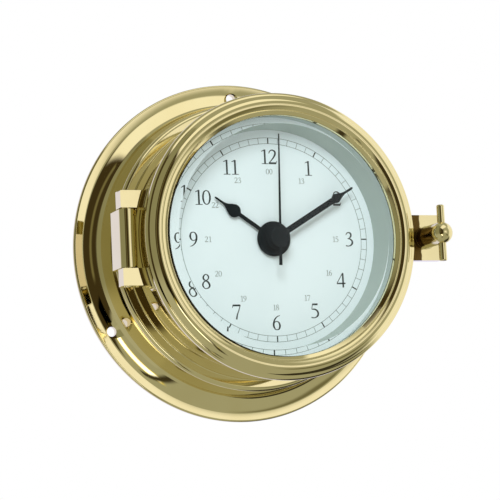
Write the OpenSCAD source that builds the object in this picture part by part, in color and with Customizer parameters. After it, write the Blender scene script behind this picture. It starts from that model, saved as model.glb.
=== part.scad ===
// Ships deck clock: brass case with a flange to screw to a bulkhead, hinged glazed bezel
// held by a thumb screw, and a quartz movement behind the dial.
// The row frame has its origin at the centre of the mounting face, +Z up, and the clock
// faces -Y. Every module below draws in the clock's own frame, with x to the right, y up
// and z the height above the mounting face, and front() turns that into the row frame.

/* [Case] */
// Outer radius of the mounting flange
flange_r = 77.5; // [76:0.5:80]
// Radius of the flange's raised rim, where the dished face starts
rim_r = 73.8; // [73:0.1:74.5]
// Height of the flange's rim
rim_h = 3.2; // [3:0.1:4]
// Radius at the foot of the collar
collar_foot_r = 66; // [65.6:0.1:66.5]
// Radius at the top of the collar
collar_top_r = 64.7; // [64.4:0.1:65]
// Height of the dished face at the collar
dish_h = 6.1; // [5.8:0.1:6.6]
// Height of the collar's top edge
collar_h = 20.2; // [19:0.1:21]
// Height where the shoulder meets the drum
shoulder_h = 22.7; // [22.2:0.1:23.5]
// Outer radius of the drum
drum_r = 59.5; // [59.3:0.1:59.7]
// Height of the drum's front rim
drum_h = 49.7; // [49.6:0.05:49.8]
// Inner radius of the drum
drum_bore_r = 57; // [56.8:0.1:57.2]

/* [Mounting holes] */
// Number of mounting holes, the first at 12 o'clock
hole_count = 3; // [3:1:4]
// Radius of the circle of mounting holes
hole_circle_r = 71; // [70.5:0.1:71.5]
// Radius of a mounting hole
hole_r = 2.2; // [1.8:0.1:2.4]
// Radius of the countersink at the face
countersink_r = 3.4; // [2.8:0.1:3.8]

/* [Bezel] */
// Height of the bezel's rear face
bezel_rear_h = 50; // [49.95:0.05:50.2]
// Largest outer radius of the bezel
bezel_r = 62.2; // [61.8:0.1:62.6]
// Height of the bezel's front
bezel_h = 62.6; // [62.2:0.1:63]
// Radius of the bezel's opening
opening_r = 52; // [51.6:0.1:52.2]
// Thickness of the glass
glass_t = 5.5; // [5:0.1:5.7]
// Radius where the glass's bevel starts
bevel_r = 48.3; // [47:0.1:49]
// Thickness of the glass at its edge
glass_edge_t = 2.9; // [2.6:0.1:2.9]

/* [Hinge] */
// Distance of the hinge pin from the clock's centre
hinge_x = 66.2; // [66:0.1:66.5]
// Height of the hinge pin
hinge_h = 47.2; // [47:0.1:47.3]
// Radius of the middle knuckle
knuckle_r = 3.8; // [3.5:0.1:3.9]
// Radius of the hinge pin
pin_r = 1.8; // [1.5:0.1:2]

/* [Latch] */
// Distance of the thumb screw from the clock's centre
latch_x = 71.5; // [71:0.1:72]
// Radius of the thumb screw's barrel
barrel_r = 4.8; // [4.4:0.1:5]
// Radius of the thumb screw's shank, for a 5 mm thread
shank_r = 2.5; // [2.5:0.1:2.6]
// Height of the tommy bar's axis
tommy_h = 67; // [66.8:0.1:68]
// Radius of the tommy bar
tommy_r = 1.7; // [1.4:0.1:1.8]
// Length of the tommy bar
tommy_len = 24.9; // [22:0.1:26]

/* [Dial and hands] */
// Height of the dial's face
dial_h = 43.9; // [43.85:0.05:43.95]
// Radius of the dial that shows inside the dial ring
dial_r = 48.3; // [47.5:0.1:48.5]
// Length of the hour hand
hour_len = 32; // [30:0.5:34]
// Length of the minute hand
minute_len = 43.5; // [40:0.5:44.5]
// Length of the seconds hand
second_len = 45; // [42:0.5:46]
// Clockwise angle of the hour hand from 12
hour_angle = 304.5; // [0:0.5:359]
// Clockwise angle of the minute hand from 12
minute_angle = 59; // [0:0.5:359]
// Clockwise angle of the seconds hand from 12
second_angle = 2; // [0:0.5:359]

/* [Hidden] */

$fn = 128;
run_clear = 0.05;        // radial clearance of a running fit
side_clear = 0.4;        // clearance between moving faces
eps = 0.01;              // overlap that makes two shapes one solid
cut = 1;                 // how far a cutting shape runs past what it cuts

brass = "#c8a55a";
movement_brass = "#d8b25a";
black = "#151515";
plastic = "#e8e6df";
acetal = "#efe9d8";

// case, where every _h is a height above the mounting face
flange_back_r = 62;      // inner radius of the flat mounting face
rim_round = 1.6;         // rounding of the flange's outer edge
rim_step = 0.3;          // step down from the rim to the dished face
dish_lean = atan((dish_h - rim_h + rim_step) / (rim_r - collar_foot_r));
cove_r = 4;              // hollow between the dished face and the collar
hollow_h = 18;           // height of the wide hollow behind the collar
shoulder_round = 2;      // rounding of the shoulder's edge
dial_seat_r = 54;        // inner radius of the ledge that carries the dial
dial_seat_t = 4;
dial_t = 0.8;
dial_back_h = dial_h - dial_t;
hole_face_h = dish_h - (hole_circle_r - collar_foot_r) * tan(dish_lean);
countersink_h = 3.5;     // length of the cone that cuts a countersink

// dial, dial ring and their screws
dial_plate_r = 56.6;
dial_ring_r = dial_plate_r - 0.1;
dial_ring_foot_t = 0.8;
dial_ring_top_h = 55;
dial_ring_top_r = 51.8;
dial_ring_wall = 0.6;
dial_screw_r = 55.2;     // radius of the circle of dial screws
dial_screw_shank = 0.8;
dial_screw_head = 1.4;
dial_screw_depth = 2.5;
dial_screw_turns = [30, 150, 270];
washer_h = dial_h + 0.2; // front of the washer under the nut
washer_r = 6.6;
nut_t = 0.85;
nut_r = 6.9;

// bezel and glass
bezel_widest_h = bezel_rear_h + 7.6;     // height where the bezel is widest
groove_h = bezel_h - 2.2;                // groove outside the front's rounded band
band_r = 4;                              // radius of the rounded band's section
band_at = [bezel_r - 5.6, bezel_h - 4];  // centre of the band's section
lip_rear_h = bezel_h - 3.4;              // rear face of the lip that holds the glass
bezel_bore_r = 55;       // bore that the glass sits in
gasket_t = 0.3;
gasket_in = opening_r + 0.5;
glass_front_h = lip_rear_h - gasket_t;   // face of the glass's edge
glass_rear_h = glass_front_h - glass_edge_t;
glass_r = bezel_bore_r - 0.2;
retainer_t = 2;
retainer_r = 53.3;
seal_in = 56.8;
seal_out = 58.6;
seal_groove_t = 1.2;
seal_gap = 0.05;         // room between the shut seal and the drum's rim

// hinge and latch lugs
hinge_half = 12.4;       // half height of the case lug
hinge_ear_in = hinge_half + side_clear;
hinge_ear_out = 20.2;
hinge_side_x = hinge_x + knuckle_r;
hinge_face_h = hinge_h + 0.6;            // face of the case lug behind the knuckle
ear_rear_h = 43.4;
ear_front_h = 51;
ear_fillet = 5;
ear_inner_x = 60.4;      // inner side of the ears below the pin
lug_ring_r = bezel_r - 1.8;              // radius where the bezel's lugs meet its ring
ear_blend = 1.2;         // hollow between the front of an ear and the ring's side
ear_blend_in = bezel_r - 1.6;            // radius where that hollow meets the ring
case_lug_rear_h = 35;
case_lug_root_h = 31;    // rear of the case lug where it meets the drum
case_lug_round = 1.5;
pin_end = 0.2;           // how far the pin's ends stand out of the ears
latch_half = 10.2;
latch_end_x = 79.6;
latch_rear_h = 46;
latch_fillet = 5.5;
latch_blend = 4.2;       // hollow between the front of the latch lug and the ring's side
latch_blend_in = bezel_r - 0.6;          // radius where that hollow meets the ring
case_latch_front_h = 45.7;
case_latch_rear_h = 38;
case_latch_half = 7;
case_latch_end_x = 77;
case_latch_fillet = 3;
shank_end_h = 40.5;
shank_chamfer = 0.6;
swing_clear = 0.45;      // room for the shank's arc when the bezel swings
latch_washer_t = 0.6;
tommy_round = 0.5;

// movement case and battery bay
movement_w = 56;
movement_wall = 1.5;
movement_rear_h = 26;
floor_h = 27.4;          // inner floor of the gear space
cover_h = 41.6;
boss_h = 29.4;           // front of the bearing bosses on the floor
bearing_low_h = 28;      // bottom of the bearings in the floor
pivot_low_h = 28.4;      // rear end of the pivots in the floor
bay_wall_y = -10.3;
bay_wall_t = 1;
battery_r = 7.2;
battery_len = 50.5;
battery_nub = 1.5;       // length of the battery's raised contact
battery_y = -18.9;
battery_h = 33.6;
contact_t = 0.3;
bush_r = 4;
bush_top_h = 45;
bridge_h = 33.3;
bridge_t = 0.7;
bridge_size = [34, 24.2];
bridge_y = -8.6;         // lower edge of the bridge
bridge_posts = [15.8, -7.4, 14.2];       // x, lower y and upper y of the posts

// motor and electronics
stator_low_h = 31.7;
stator_t = 1;
stator_y = 9.6;
stator_w = 25.2;
leg_x = 11;              // distance of the stator's legs from its middle
leg_w = 3.2;
rivet_r = 0.6;
coil_y = 22;
coil_h = 33.1;
coil_len = 18;
coil_r = 3.2;
coil_end_r = 3.9;
coil_end_t = 0.8;
coil_core_w = 2;
coil_core_t = 0.8;
board_at = [18.6, 11];
board_size = [7.6, 14.6, 0.8];
board_front_h = floor_h + board_size[2];

// tooth counts, a wheel's before its pinion's
rotor_teeth = 6;
intermediate_teeth = [36, 8];
seconds_teeth = [40, 8];
third_teeth = [60, 8];
centre_teeth = 64;
cannon_teeth = 12;
motion_teeth = [36, 10];
hour_teeth = 40;
setting_teeth = 18;

// gear modules and the arbors' places that follow from them
function apart(a, b, m) = (a + b) * m / 2;
m_step = 0.3;            // rotor, intermediate and seconds wheels, and the hour wheel
m_third = 0.25;          // seconds pinion and third wheel
m_motion = 0.3125;       // cannon pinion, motion wheel and setting gear
third_reach = apart(seconds_teeth[1], third_teeth[0], m_third);
m_centre = third_reach / apart(third_teeth[1], centre_teeth, 1);
third_at = [-third_reach, 0];
intermediate_at = [0, apart(intermediate_teeth[1], seconds_teeth[0], m_step)];
rotor_at = intermediate_at + [0, apart(rotor_teeth, intermediate_teeth[0], m_step)];
motion_at = [apart(cannon_teeth, motion_teeth[0], m_motion), 0];
setting_turn = 35;       // direction from the motion wheel to the setting arbor
setting_at = motion_at + apart(motion_teeth[0], setting_teeth, m_motion)
    * [cos(setting_turn), sin(setting_turn)];

// teeth and drums of the train, each from its rear height to its front height
rotor_teeth_h = [29.8, 31.2];
magnet_h = [31.5, 32.9];
intermediate_wheel_h = [30.2, 30.8];
intermediate_pinion_h = [31.3, 32.9];
seconds_wheel_h = [31.9, 32.5];
seconds_pinion_h = [34.3, 35.6];
third_wheel_h = [34.6, 35.2];
third_pinion_h = [35.9, 37.3];
centre_wheel_h = [36.3, 36.9];
cannon_teeth_h = [37.8, 38.9];
motion_wheel_h = [38, 38.7];
motion_pinion_h = [38.7, 40.7];
hour_wheel_h = [39.5, 40.3];
setting_teeth_h = [37.9, 38.8];
knob_h = [22, 25.6];
knob_r = 4.6;
knob_ridges = 24;
step_pivot_h = 33.9;     // front end of the rotor's and intermediate wheel's pivots
third_pivot_h = [33.5, 42.2];
third_arbor_h = [34.1, 41.3];
cannon_low_h = 36;
post_low_h = 37.8;       // rear end of the post that carries the motion wheel
cover_bore_t = 0.8;      // depth of the blind bearings in the cover

// coaxial stack and hands
arbor_r = 0.5;
pivot_r = 0.4;
setting_r = 1.2;
magnet_r = 2.5;
cannon_r = 1.4;
pipe_bore_r = cannon_r + run_clear;
pipe_r = 2.3;
blade_t = 0.5;
hour_hub_r = 7.7;
hour_hub_h = 45.2;
hour_pipe_end_h = 45.8;
minute_hub_r = 5;
minute_collet = [2.4, 1.8];              // radius and length of the collet behind the hub
minute_blade_h = 48.3;
cannon_end_h = 49.2;
second_hub_r = 4.5;
second_hub_t = 0.7;
second_blade_t = 0.4;
second_collet = [1.2, 2.2];
second_tail = 12.4;
second_blade_h = 52.8;
second_arbor_end_h = 53.2;

// ---------- frames and shared shapes ----------

module front() { rotate([90, 0, 0]) children(); }

// round tube between two radii and two heights
module tube(inner, outer, low, high) {
    translate([0, 0, low]) difference() {
        cylinder(r = outer, h = high - low);
        translate([0, 0, -cut]) cylinder(r = inner, h = high - low + 2 * cut);
    }
}

// round bar at a place, over a span of heights
module arbor(at, span, r) {
    translate([at[0], at[1], span[0]]) cylinder(r = r, h = span[1] - span[0]);
}

// points of an arc from one angle to another
function arc(cx, cy, r, from, to, steps = 12) =
    [for (i = [0:steps]) let (turn = from + (to - from) * i / steps)
        [cx + r * cos(turn), cy + r * sin(turn)]];

// lug that grows out of a ring, in front view, with hollow fillets at its outer corners
module lug_outline(end_x, half, ring, fillet) {
    cy = half + fillet - eps;
    cx = sqrt(pow(ring + fillet, 2) - pow(cy, 2));
    touch = [cx, cy] * ring / (ring + fillet);
    difference() {
        polygon([[0, 0], [touch[0], -touch[1]], [cx, -half], [end_x, -half],
                 [end_x, half], [cx, half], touch]);
        for (s = [-1, 1]) translate([cx, s * cy]) circle(r = fillet);
    }
}

// toothed wheel with straight-flanked teeth, thinned for backlash, between two heights
module toothed(teeth, m, span, turn = 0) {
    pitch_r = teeth * m / 2;
    root_r = pitch_r - 1.2 * m;
    tip_r = pitch_r + 0.85 * m;
    step = 360 / teeth;
    root_half = step * (teeth < 13 ? 0.23 : 0.25);
    tip_half = step * (teeth < 13 ? 0.085 : 0.09);
    corners = [[root_r, -root_half], [tip_r, -tip_half], [tip_r, tip_half], [root_r, root_half]];
    translate([0, 0, span[0]]) rotate(turn) linear_extrude(height = span[1] - span[0])
        polygon([for (i = [0:teeth - 1]) for (p = corners)
            p[0] * [cos(i * step + p[1]), sin(i * step + p[1])]]);
}

// turn that puts a gap between two teeth at a direction
function gap_at(teeth, direction) = direction + 180 / teeth;

// ---------- case ----------

// section of the flange, the dished face, the collar, the shoulder and the drum
module case_profile() {
    seat_rear_h = dial_back_h - dial_seat_t;
    cove_h = dish_h + cove_r * (1 / cos(dish_lean) - tan(dish_lean));
    polygon(concat(
        [[flange_back_r, 0], [flange_r - rim_round, 0]],
        arc(flange_r - rim_round, rim_round, rim_round, -90, 90, 10),
        [[rim_r + 0.6, rim_h], [rim_r, rim_h - rim_step]],
        arc(collar_foot_r + cove_r, cove_h, cove_r, 270 - dish_lean, 180, 8),
        [[collar_top_r, collar_h]],
        arc(collar_top_r - shoulder_round, collar_h + 0.4, shoulder_round, 0, 90, 8),
        [[drum_r + 0.4, shoulder_h - 0.1], [drum_r, shoulder_h + 0.3]],
        [[drum_r, drum_h - 0.4], [drum_r - 0.4, drum_h], [drum_bore_r, drum_h]],
        [[drum_bore_r, dial_back_h], [dial_seat_r, dial_back_h], [dial_seat_r, seat_rear_h]],
        [[drum_bore_r, seat_rear_h - drum_bore_r + dial_seat_r]],
        [[drum_bore_r, hollow_h + 2], [flange_back_r, hollow_h]]
    ));
}

module mounting_hole() {
    translate([0, 0, -cut]) cylinder(r = hole_r, h = hole_face_h + 2 * cut);
    translate([0, 0, hole_face_h - (countersink_r - hole_r)])
        cylinder(r1 = hole_r, r2 = hole_r + countersink_h, h = countersink_h);
}

module case_body() color(brass) front() difference() {
    rotate_extrude() case_profile();
    for (i = [0:hole_count - 1]) rotate(90 + i * 360 / hole_count)
        translate([hole_circle_r, 0, 0]) mounting_hole();
    for (turn = dial_screw_turns) rotate(turn)
        translate([dial_screw_r, 0, dial_back_h - dial_screw_depth - 0.5])
            cylinder(r = dial_screw_shank, h = dial_screw_depth + cut);
}

module hinge_lug() color(brass) front() difference() {
    translate([0, hinge_half, 0]) rotate([90, 0, 0]) linear_extrude(height = 2 * hinge_half)
        polygon(concat(
            [[-drum_r + 2, case_lug_root_h], [-drum_r + 2, hinge_face_h],
             [-hinge_x + knuckle_r, hinge_face_h]],
            arc(-hinge_x, hinge_h, knuckle_r, 9, 180, 16),
            arc(-hinge_side_x + case_lug_round, case_lug_rear_h + case_lug_round,
                case_lug_round, 180, 250, 6)));
    translate([0, 0, case_lug_root_h - cut]) cylinder(r = drum_r, h = hinge_h);
    translate([-hinge_x, hinge_half + cut, hinge_h]) rotate([90, 0, 0])
        cylinder(r = pin_r, h = 2 * (hinge_half + cut));
}

module hinge_pin() color("#b08d45") front()
    translate([-hinge_x, hinge_ear_out + pin_end, hinge_h]) rotate([90, 0, 0])
        cylinder(r = pin_r, h = 2 * (hinge_ear_out + pin_end));

module latch_lug() color(brass) front() {
    round_x = case_latch_end_x - case_latch_half;
    lug_t = case_latch_front_h - case_latch_rear_h;
    difference() {
        translate([0, 0, case_latch_rear_h]) linear_extrude(height = lug_t) difference() {
            union() {
                lug_outline(round_x, case_latch_half, drum_r, case_latch_fillet);
                translate([round_x, 0]) circle(r = case_latch_half);
            }
            circle(r = drum_r);
        }
        translate([latch_x, 0, case_latch_rear_h - cut])
            cylinder(r = shank_r + swing_clear, h = lug_t + 2 * cut);
    }
}

// ---------- bezel ----------

// section of the bezel: flared side, groove, rounded band, inner groove and lip
module bezel_profile() {
    polygon(concat(
        [[bezel_bore_r, bezel_rear_h], [bezel_r - 2.3, bezel_rear_h],
         [bezel_r - 2.1, bezel_rear_h + 0.2]],
        [[bezel_r - 1.7, bezel_widest_h - 6], [bezel_r - 1, bezel_widest_h - 4],
         [bezel_r - 0.3, bezel_widest_h - 1.6], [bezel_r, bezel_widest_h]],
        [[bezel_r - 0.15, groove_h - 1.6], [bezel_r - 0.7, groove_h - 0.8],
         [bezel_r - 1.6, groove_h - 0.4], [bezel_r - 2, groove_h]],
        arc(band_at[0], band_at[1], band_r, 28, 102, 12),
        [[opening_r + 2.5, bezel_h - 0.7], [opening_r + 2.1, bezel_h - 0.75],
         [opening_r + 1.8, bezel_h - 0.4]],
        [[opening_r, bezel_h - 1.9], [opening_r, lip_rear_h], [bezel_bore_r, lip_rear_h]]
    ));
}

// lug that leaves the ring in hollow fillets, at its sides and across its front
module blended_lug(end_x, half, fillet, rear_h, blend, blend_in) {
    outside = end_x + half;
    top_h = ear_front_h + blend;
    intersection() {
        translate([0, 0, rear_h]) linear_extrude(height = top_h - rear_h)
            difference() {
                lug_outline(end_x, half, lug_ring_r, fillet);
                circle(r = drum_r + side_clear);
            }
        rotate_extrude() polygon(concat(
            [[0, 0], [outside, 0], [outside, ear_front_h]],
            arc(blend_in + blend, top_h, blend, 270, 180, 8),
            [[0, top_h]]));
    }
}

// below the pin the ears stop short of the ring, so that they clear the drum as they turn
module hinge_ears() {
    reach = 2 * hinge_ear_out;
    ear_w = hinge_ear_out - hinge_ear_in;
    for (s = [-1, 1]) {
        intersection() {
            mirror([1, 0, 0])
                blended_lug(hinge_side_x, hinge_ear_out, ear_fillet, hinge_h,
                    ear_blend, ear_blend_in);
            translate([-hinge_side_x - cut, s > 0 ? hinge_ear_in : -hinge_ear_in - reach, 0])
                cube([hinge_side_x, reach, bezel_h]);
        }
        translate([-hinge_side_x, s > 0 ? hinge_ear_in : -hinge_ear_out, ear_rear_h])
            cube([hinge_side_x - ear_inner_x, ear_w, hinge_h - ear_rear_h + eps]);
    }
}

module bezel_ring() color(brass) front() difference() {
    union() {
        rotate_extrude() bezel_profile();
        hinge_ears();
        blended_lug(latch_end_x, latch_half, latch_fillet, latch_rear_h,
            latch_blend, latch_blend_in);
    }
    translate([-hinge_x, hinge_ear_out + cut, hinge_h]) rotate([90, 0, 0])
        cylinder(r = pin_r + run_clear, h = 2 * (hinge_ear_out + cut));
    translate([latch_x, 0, latch_rear_h - cut])
        cylinder(r = shank_r + run_clear, h = ear_front_h - latch_rear_h + 2 * cut);
    tube(seal_in, seal_out, bezel_rear_h - cut, bezel_rear_h + seal_groove_t);
}

module bezel_glass() color([0.85, 0.93, 0.93, 0.35]) front()
    rotate_extrude() polygon([
        [0, glass_rear_h], [glass_r, glass_rear_h], [glass_r, glass_front_h],
        [opening_r - 0.1, glass_front_h], [bevel_r, glass_rear_h + glass_t],
        [0, glass_rear_h + glass_t]]);

module glass_gasket() color(black) front() tube(gasket_in, glass_r, glass_front_h, lip_rear_h);

module glass_retaining_ring() color(brass) front()
    tube(retainer_r, bezel_bore_r, glass_rear_h - retainer_t, glass_rear_h);

module bezel_seal() color(black) front()
    tube(seal_in, seal_out, drum_h + seal_gap, bezel_rear_h + seal_groove_t);

// ---------- latch ----------

module latch_washer() color(brass) front() translate([latch_x, 0, 0])
    tube(shank_r + run_clear, barrel_r + 0.4, ear_front_h, ear_front_h + latch_washer_t);

module thumb_screw() color(brass) front() translate([latch_x, 0, 0]) {
    low = ear_front_h + latch_washer_t;
    neck = tommy_h - barrel_r + 0.5;
    difference() {
        union() {
            translate([0, 0, neck]) cylinder(r = barrel_r, h = tommy_h - neck);
            translate([0, 0, tommy_h]) sphere(r = barrel_r);
        }
        translate([0, tommy_len / 2, tommy_h]) rotate([90, 0, 0])
            cylinder(r = tommy_r, h = tommy_len);
    }
    rotate_extrude() polygon([
        [0, shank_end_h], [shank_r - shank_chamfer, shank_end_h],
        [shank_r, shank_end_h + shank_chamfer], [shank_r, low],
        [barrel_r - 0.3, low], [barrel_r, low + 0.3], [barrel_r, neck], [0, neck]]);
}

module tommy_bar() color("#d0ac62") front() translate([latch_x, 0, tommy_h]) rotate([90, 0, 0])
    rotate_extrude() polygon(concat(
        [[0, -tommy_len / 2]],
        arc(tommy_r - tommy_round, tommy_round - tommy_len / 2, tommy_round, -90, 0, 5),
        arc(tommy_r - tommy_round, tommy_len / 2 - tommy_round, tommy_round, 0, 90, 5),
        [[0, tommy_len / 2]]));

// ---------- dial ----------

module dial_screw_holes(low) {
    for (turn = dial_screw_turns) rotate(turn) translate([dial_screw_r, 0, low - cut])
        cylinder(r = dial_screw_shank + 0.1, h = 2 * cut + dial_t);
}

module dial() color("#eef5f4") front() difference() {
    translate([0, 0, dial_back_h]) cylinder(r = dial_plate_r, h = dial_t);
    translate([0, 0, dial_back_h - cut]) cylinder(r = bush_r + 0.1, h = dial_t + 2 * cut);
    dial_screw_holes(dial_back_h);
}

module dial_ring() color("#dfe6e4") front() difference() {
    foot_h = dial_h + dial_ring_foot_t;
    rotate_extrude() polygon([
        [dial_r, dial_h], [dial_ring_r, dial_h], [dial_ring_r, foot_h],
        [dial_r + dial_ring_wall + 0.5, foot_h],
        [dial_ring_top_r + dial_ring_wall, dial_ring_top_h], [dial_ring_top_r, dial_ring_top_h],
        [dial_r, dial_h + 0.3]]);
    dial_screw_holes(dial_h);
}

module dial_screws() color(movement_brass) front()
    for (turn = dial_screw_turns) rotate(turn) translate([dial_screw_r, 0, 0]) difference() {
        head_h = dial_h + dial_ring_foot_t;
        head_t = 0.9;
        slot = [4, 0.4, head_t];
        union() {
            translate([0, 0, dial_back_h - dial_screw_depth])
                cylinder(r = dial_screw_shank, h = head_h - dial_back_h + dial_screw_depth + eps);
            translate([0, 0, head_h]) cylinder(r = dial_screw_head, h = head_t);
        }
        translate([-slot[0] / 2, -slot[1] / 2, head_h + 0.5]) cube(slot);
    }

module dial_washer() color("#b8bcc0") front() tube(bush_r + run_clear, washer_r, dial_h, washer_h);

module dial_nut() color(brass) front() difference() {
    translate([0, 0, washer_h]) cylinder(r = nut_r, h = nut_t, $fn = 6);
    translate([0, 0, washer_h - cut]) cylinder(r = bush_r, h = nut_t + 2 * cut);
}

// ---------- hands ----------

// blade seen from the front, pointing up: stem, bulb and drawn-out tip
module blade(len, bulb_at, bulb_r, stem_w, neck_w, tip_w) {
    steps = 10;
    shoulder = bulb_at + bulb_r * 0.75;
    half = concat(
        [[stem_w / 2, 0], [stem_w / 2, bulb_at - bulb_r]],
        arc(0, bulb_at, bulb_r, -65, 35, steps),
        [for (i = [1:steps]) let (t = i / steps) [
            neck_w / 2 + (bulb_r * 0.8 - neck_w / 2) * pow(1 - t, 2.2),
            shoulder + (len - shoulder) * 0.55 * t]],
        [[tip_w / 2, len - 0.4], [tip_w / 4, len]]);
    polygon(concat(half, [for (i = [len(half) - 1:-1:0]) [-half[i][0], half[i][1]]]));
}

module hour_hand() color(black) front() difference() {
    union() {
        translate([0, 0, hour_hub_h]) cylinder(r = hour_hub_r, h = blade_t);
        rotate(-hour_angle) translate([0, 0, hour_hub_h]) linear_extrude(height = blade_t)
            blade(hour_len, 21.5, 2.9, 1.7, 0.9, 0.8);
    }
    translate([0, 0, hour_hub_h - cut]) cylinder(r = pipe_r, h = blade_t + 2 * cut);
}

module minute_hand() color(black) front() difference() {
    union() {
        translate([0, 0, minute_blade_h]) cylinder(r = minute_hub_r, h = blade_t);
        translate([0, 0, minute_blade_h - minute_collet[1]])
            cylinder(r = minute_collet[0], h = minute_collet[1] + eps);
        rotate(-minute_angle) translate([0, 0, minute_blade_h]) linear_extrude(height = blade_t)
            blade(minute_len, 34, 2.1, 2.7, 1, 0.9);
    }
    translate([0, 0, minute_blade_h - minute_collet[1] - cut])
        cylinder(r = cannon_r, h = minute_collet[1] + blade_t + 2 * cut);
}

module seconds_hand() color(black) front() difference() {
    union() {
        translate([0, 0, second_blade_h]) cylinder(r = second_hub_r, h = second_hub_t);
        translate([0, 0, second_blade_h - second_collet[1]])
            cylinder(r = second_collet[0], h = second_collet[1] + eps);
        rotate(-second_angle) translate([0, 0, second_blade_h])
            linear_extrude(height = second_blade_t)
                polygon([[-0.7, -second_tail], [0.7, -second_tail], [0.55, 0],
                         [0.25, second_len], [-0.25, second_len], [-0.55, 0]]);
    }
    translate([0, 0, second_blade_h - second_collet[1] - cut])
        cylinder(r = arbor_r, h = second_arbor_end_h - second_blade_h + second_collet[1] + cut);
}

// ---------- movement case ----------

module movement_cover() color(plastic) front() difference() {
    union() {
        translate([-movement_w / 2, -movement_w / 2, cover_h])
            cube([movement_w, movement_w, dial_back_h - cover_h]);
        arbor([0, 0], [cover_h, bush_top_h], bush_r);
        arbor(motion_at, [post_low_h, cover_h + eps], arbor_r);
    }
    arbor([0, 0], [cover_h - cut, bush_top_h + cut], pipe_r + run_clear);
    for (at = [third_at, setting_at])
        arbor(at, [cover_h - cut, cover_h + cover_bore_t], pivot_r + run_clear);
}

module movement_housing() color(plastic) front() {
    half = movement_w / 2;
    inner = movement_w - 2 * movement_wall;
    bay_top = bay_wall_y + bay_wall_t;
    depth = cover_h - movement_rear_h;
    difference() {
        union() {
            difference() {
                translate([-half, -half, movement_rear_h]) cube([movement_w, movement_w, depth]);
                translate([-inner / 2, bay_top, floor_h]) cube([inner, inner / 2 - bay_top, depth]);
                translate([-inner / 2, -inner / 2, movement_rear_h - cut])
                    cube([inner, inner / 2 + bay_wall_y, depth + 2 * cut]);
            }
            for (at = [[0, 0], intermediate_at, rotor_at]) arbor(at, [floor_h - eps, boss_h], 1.3);
            arbor(setting_at, [floor_h - eps, boss_h], 2.2);
        }
        for (at = [[0, 0], intermediate_at, rotor_at])
            arbor(at, [bearing_low_h, boss_h + cut], pivot_r + run_clear);
        arbor(setting_at, [movement_rear_h - cut, boss_h + cut], setting_r + run_clear);
    }
}

module train_bridge() color("#d8d4c8") front() difference() {
    bridge_span = [bridge_h - cut, bridge_h + bridge_t + cut];
    union() {
        translate([-bridge_size[0] / 2, bridge_y, bridge_h])
            cube([bridge_size[0], bridge_size[1], bridge_t]);
        for (x = [-bridge_posts[0], bridge_posts[0]]) for (y = [bridge_posts[1], bridge_posts[2]])
            arbor([x, y], [floor_h, bridge_h + eps], 1);
    }
    arbor([0, 0], bridge_span, arbor_r + run_clear);
    for (at = [intermediate_at, rotor_at, third_at]) arbor(at, bridge_span, pivot_r + run_clear);
    arbor(setting_at, bridge_span, setting_r + side_clear);
}

// ---------- motor and electronics ----------

module stator() color("#9a9ea3") front() difference() {
    body_h = 4.2;
    translate([0, 0, stator_low_h]) linear_extrude(height = stator_t) difference() {
        union() {
            translate([-stator_w / 2, stator_y]) square([stator_w, body_h]);
            translate(rotor_at) circle(r = 4.2);
            for (s = [-1, 1]) translate([s * leg_x - leg_w / 2, stator_y])
                square([leg_w, coil_y + leg_w / 2 - stator_y]);
        }
        translate(rotor_at) circle(r = magnet_r + side_clear);
    }
    coil_rivets();
}

module coil_rivets() {
    for (x = [-leg_x, leg_x])
        arbor([x, coil_y], [stator_low_h, stator_low_h + stator_t + coil_core_t], rivet_r);
}

module coil_core() color("#8a8e93") front() {
    translate([-stator_w / 2, coil_y - coil_core_w / 2, stator_low_h + stator_t])
        cube([stator_w, coil_core_w, coil_core_t]);
    coil_rivets();
}

module coil() color("#b5622d") front() difference() {
    translate([-coil_len / 2, coil_y, coil_h]) rotate([0, 90, 0]) {
        cylinder(r = coil_r, h = coil_len);
        for (z = [0, coil_len - coil_end_t]) translate([0, 0, z]) cylinder(r = coil_end_r, h = coil_end_t);
    }
    translate([-coil_len, coil_y - coil_core_w / 2 - 0.1, stator_low_h + stator_t - 0.1])
        cube([2 * coil_len, coil_core_w + 0.2, coil_core_t + 0.2]);
}

module circuit_board() color("#2f6b3c") front()
    translate([board_at[0], board_at[1], floor_h]) difference() {
        cube(board_size);
        for (y = [2, board_size[1] - 2]) translate([board_size[0] - 1.2, y, -cut])
            cylinder(r = 0.5, h = board_size[2] + 2 * cut);
    }

module control_chip() color(black) front() translate([board_at[0], board_at[1], board_front_h]) {
    translate([2, 7.6, 0]) cube([3.6, 3.6, 0.9]);
    for (y = [8, 9.2, 10.4]) translate([1.4, y, 0]) cube([4.8, 0.4, 0.3]);
}

module quartz_crystal() color("#c9ccd0") front()
    translate([board_at[0] + board_size[0] / 2, board_at[1] + 0.6, board_front_h + 1.05])
        rotate([-90, 0, 0]) {
            cylinder(r = 1, h = 5.6);
            for (x = [-0.4, 0.4]) translate([x, 0, 5.5]) cylinder(r = 0.15, h = 1.2);
        }

module battery() color("#3b3f45") front()
    translate([-battery_len / 2, battery_y, battery_h]) rotate([0, 90, 0]) {
        cylinder(r = battery_r, h = battery_len - battery_nub + eps);
        translate([0, 0, battery_len - battery_nub]) cylinder(r = 2.7, h = battery_nub);
    }

module positive_contact() color(movement_brass) front() {
    x = movement_w / 2 - movement_wall - contact_t;
    translate([x, battery_y - 3, battery_h - 4]) cube([contact_t, 9, 9]);
    translate([battery_len / 2, battery_y - 1.5, battery_h - 1.5])
        cube([x - battery_len / 2 + eps, 3, 3]);
}

module negative_contact() color(movement_brass) front() {
    x = -movement_w / 2 + movement_wall;
    translate([x, battery_y - 4, battery_h - 4]) cube([contact_t, 10, 9]);
    translate([x + contact_t - eps, battery_y, battery_h]) rotate([0, 90, 0])
        cylinder(r1 = 3, r2 = 1.8, h = -battery_len / 2 - x - contact_t + eps);
}

// ---------- wheels ----------

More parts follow.
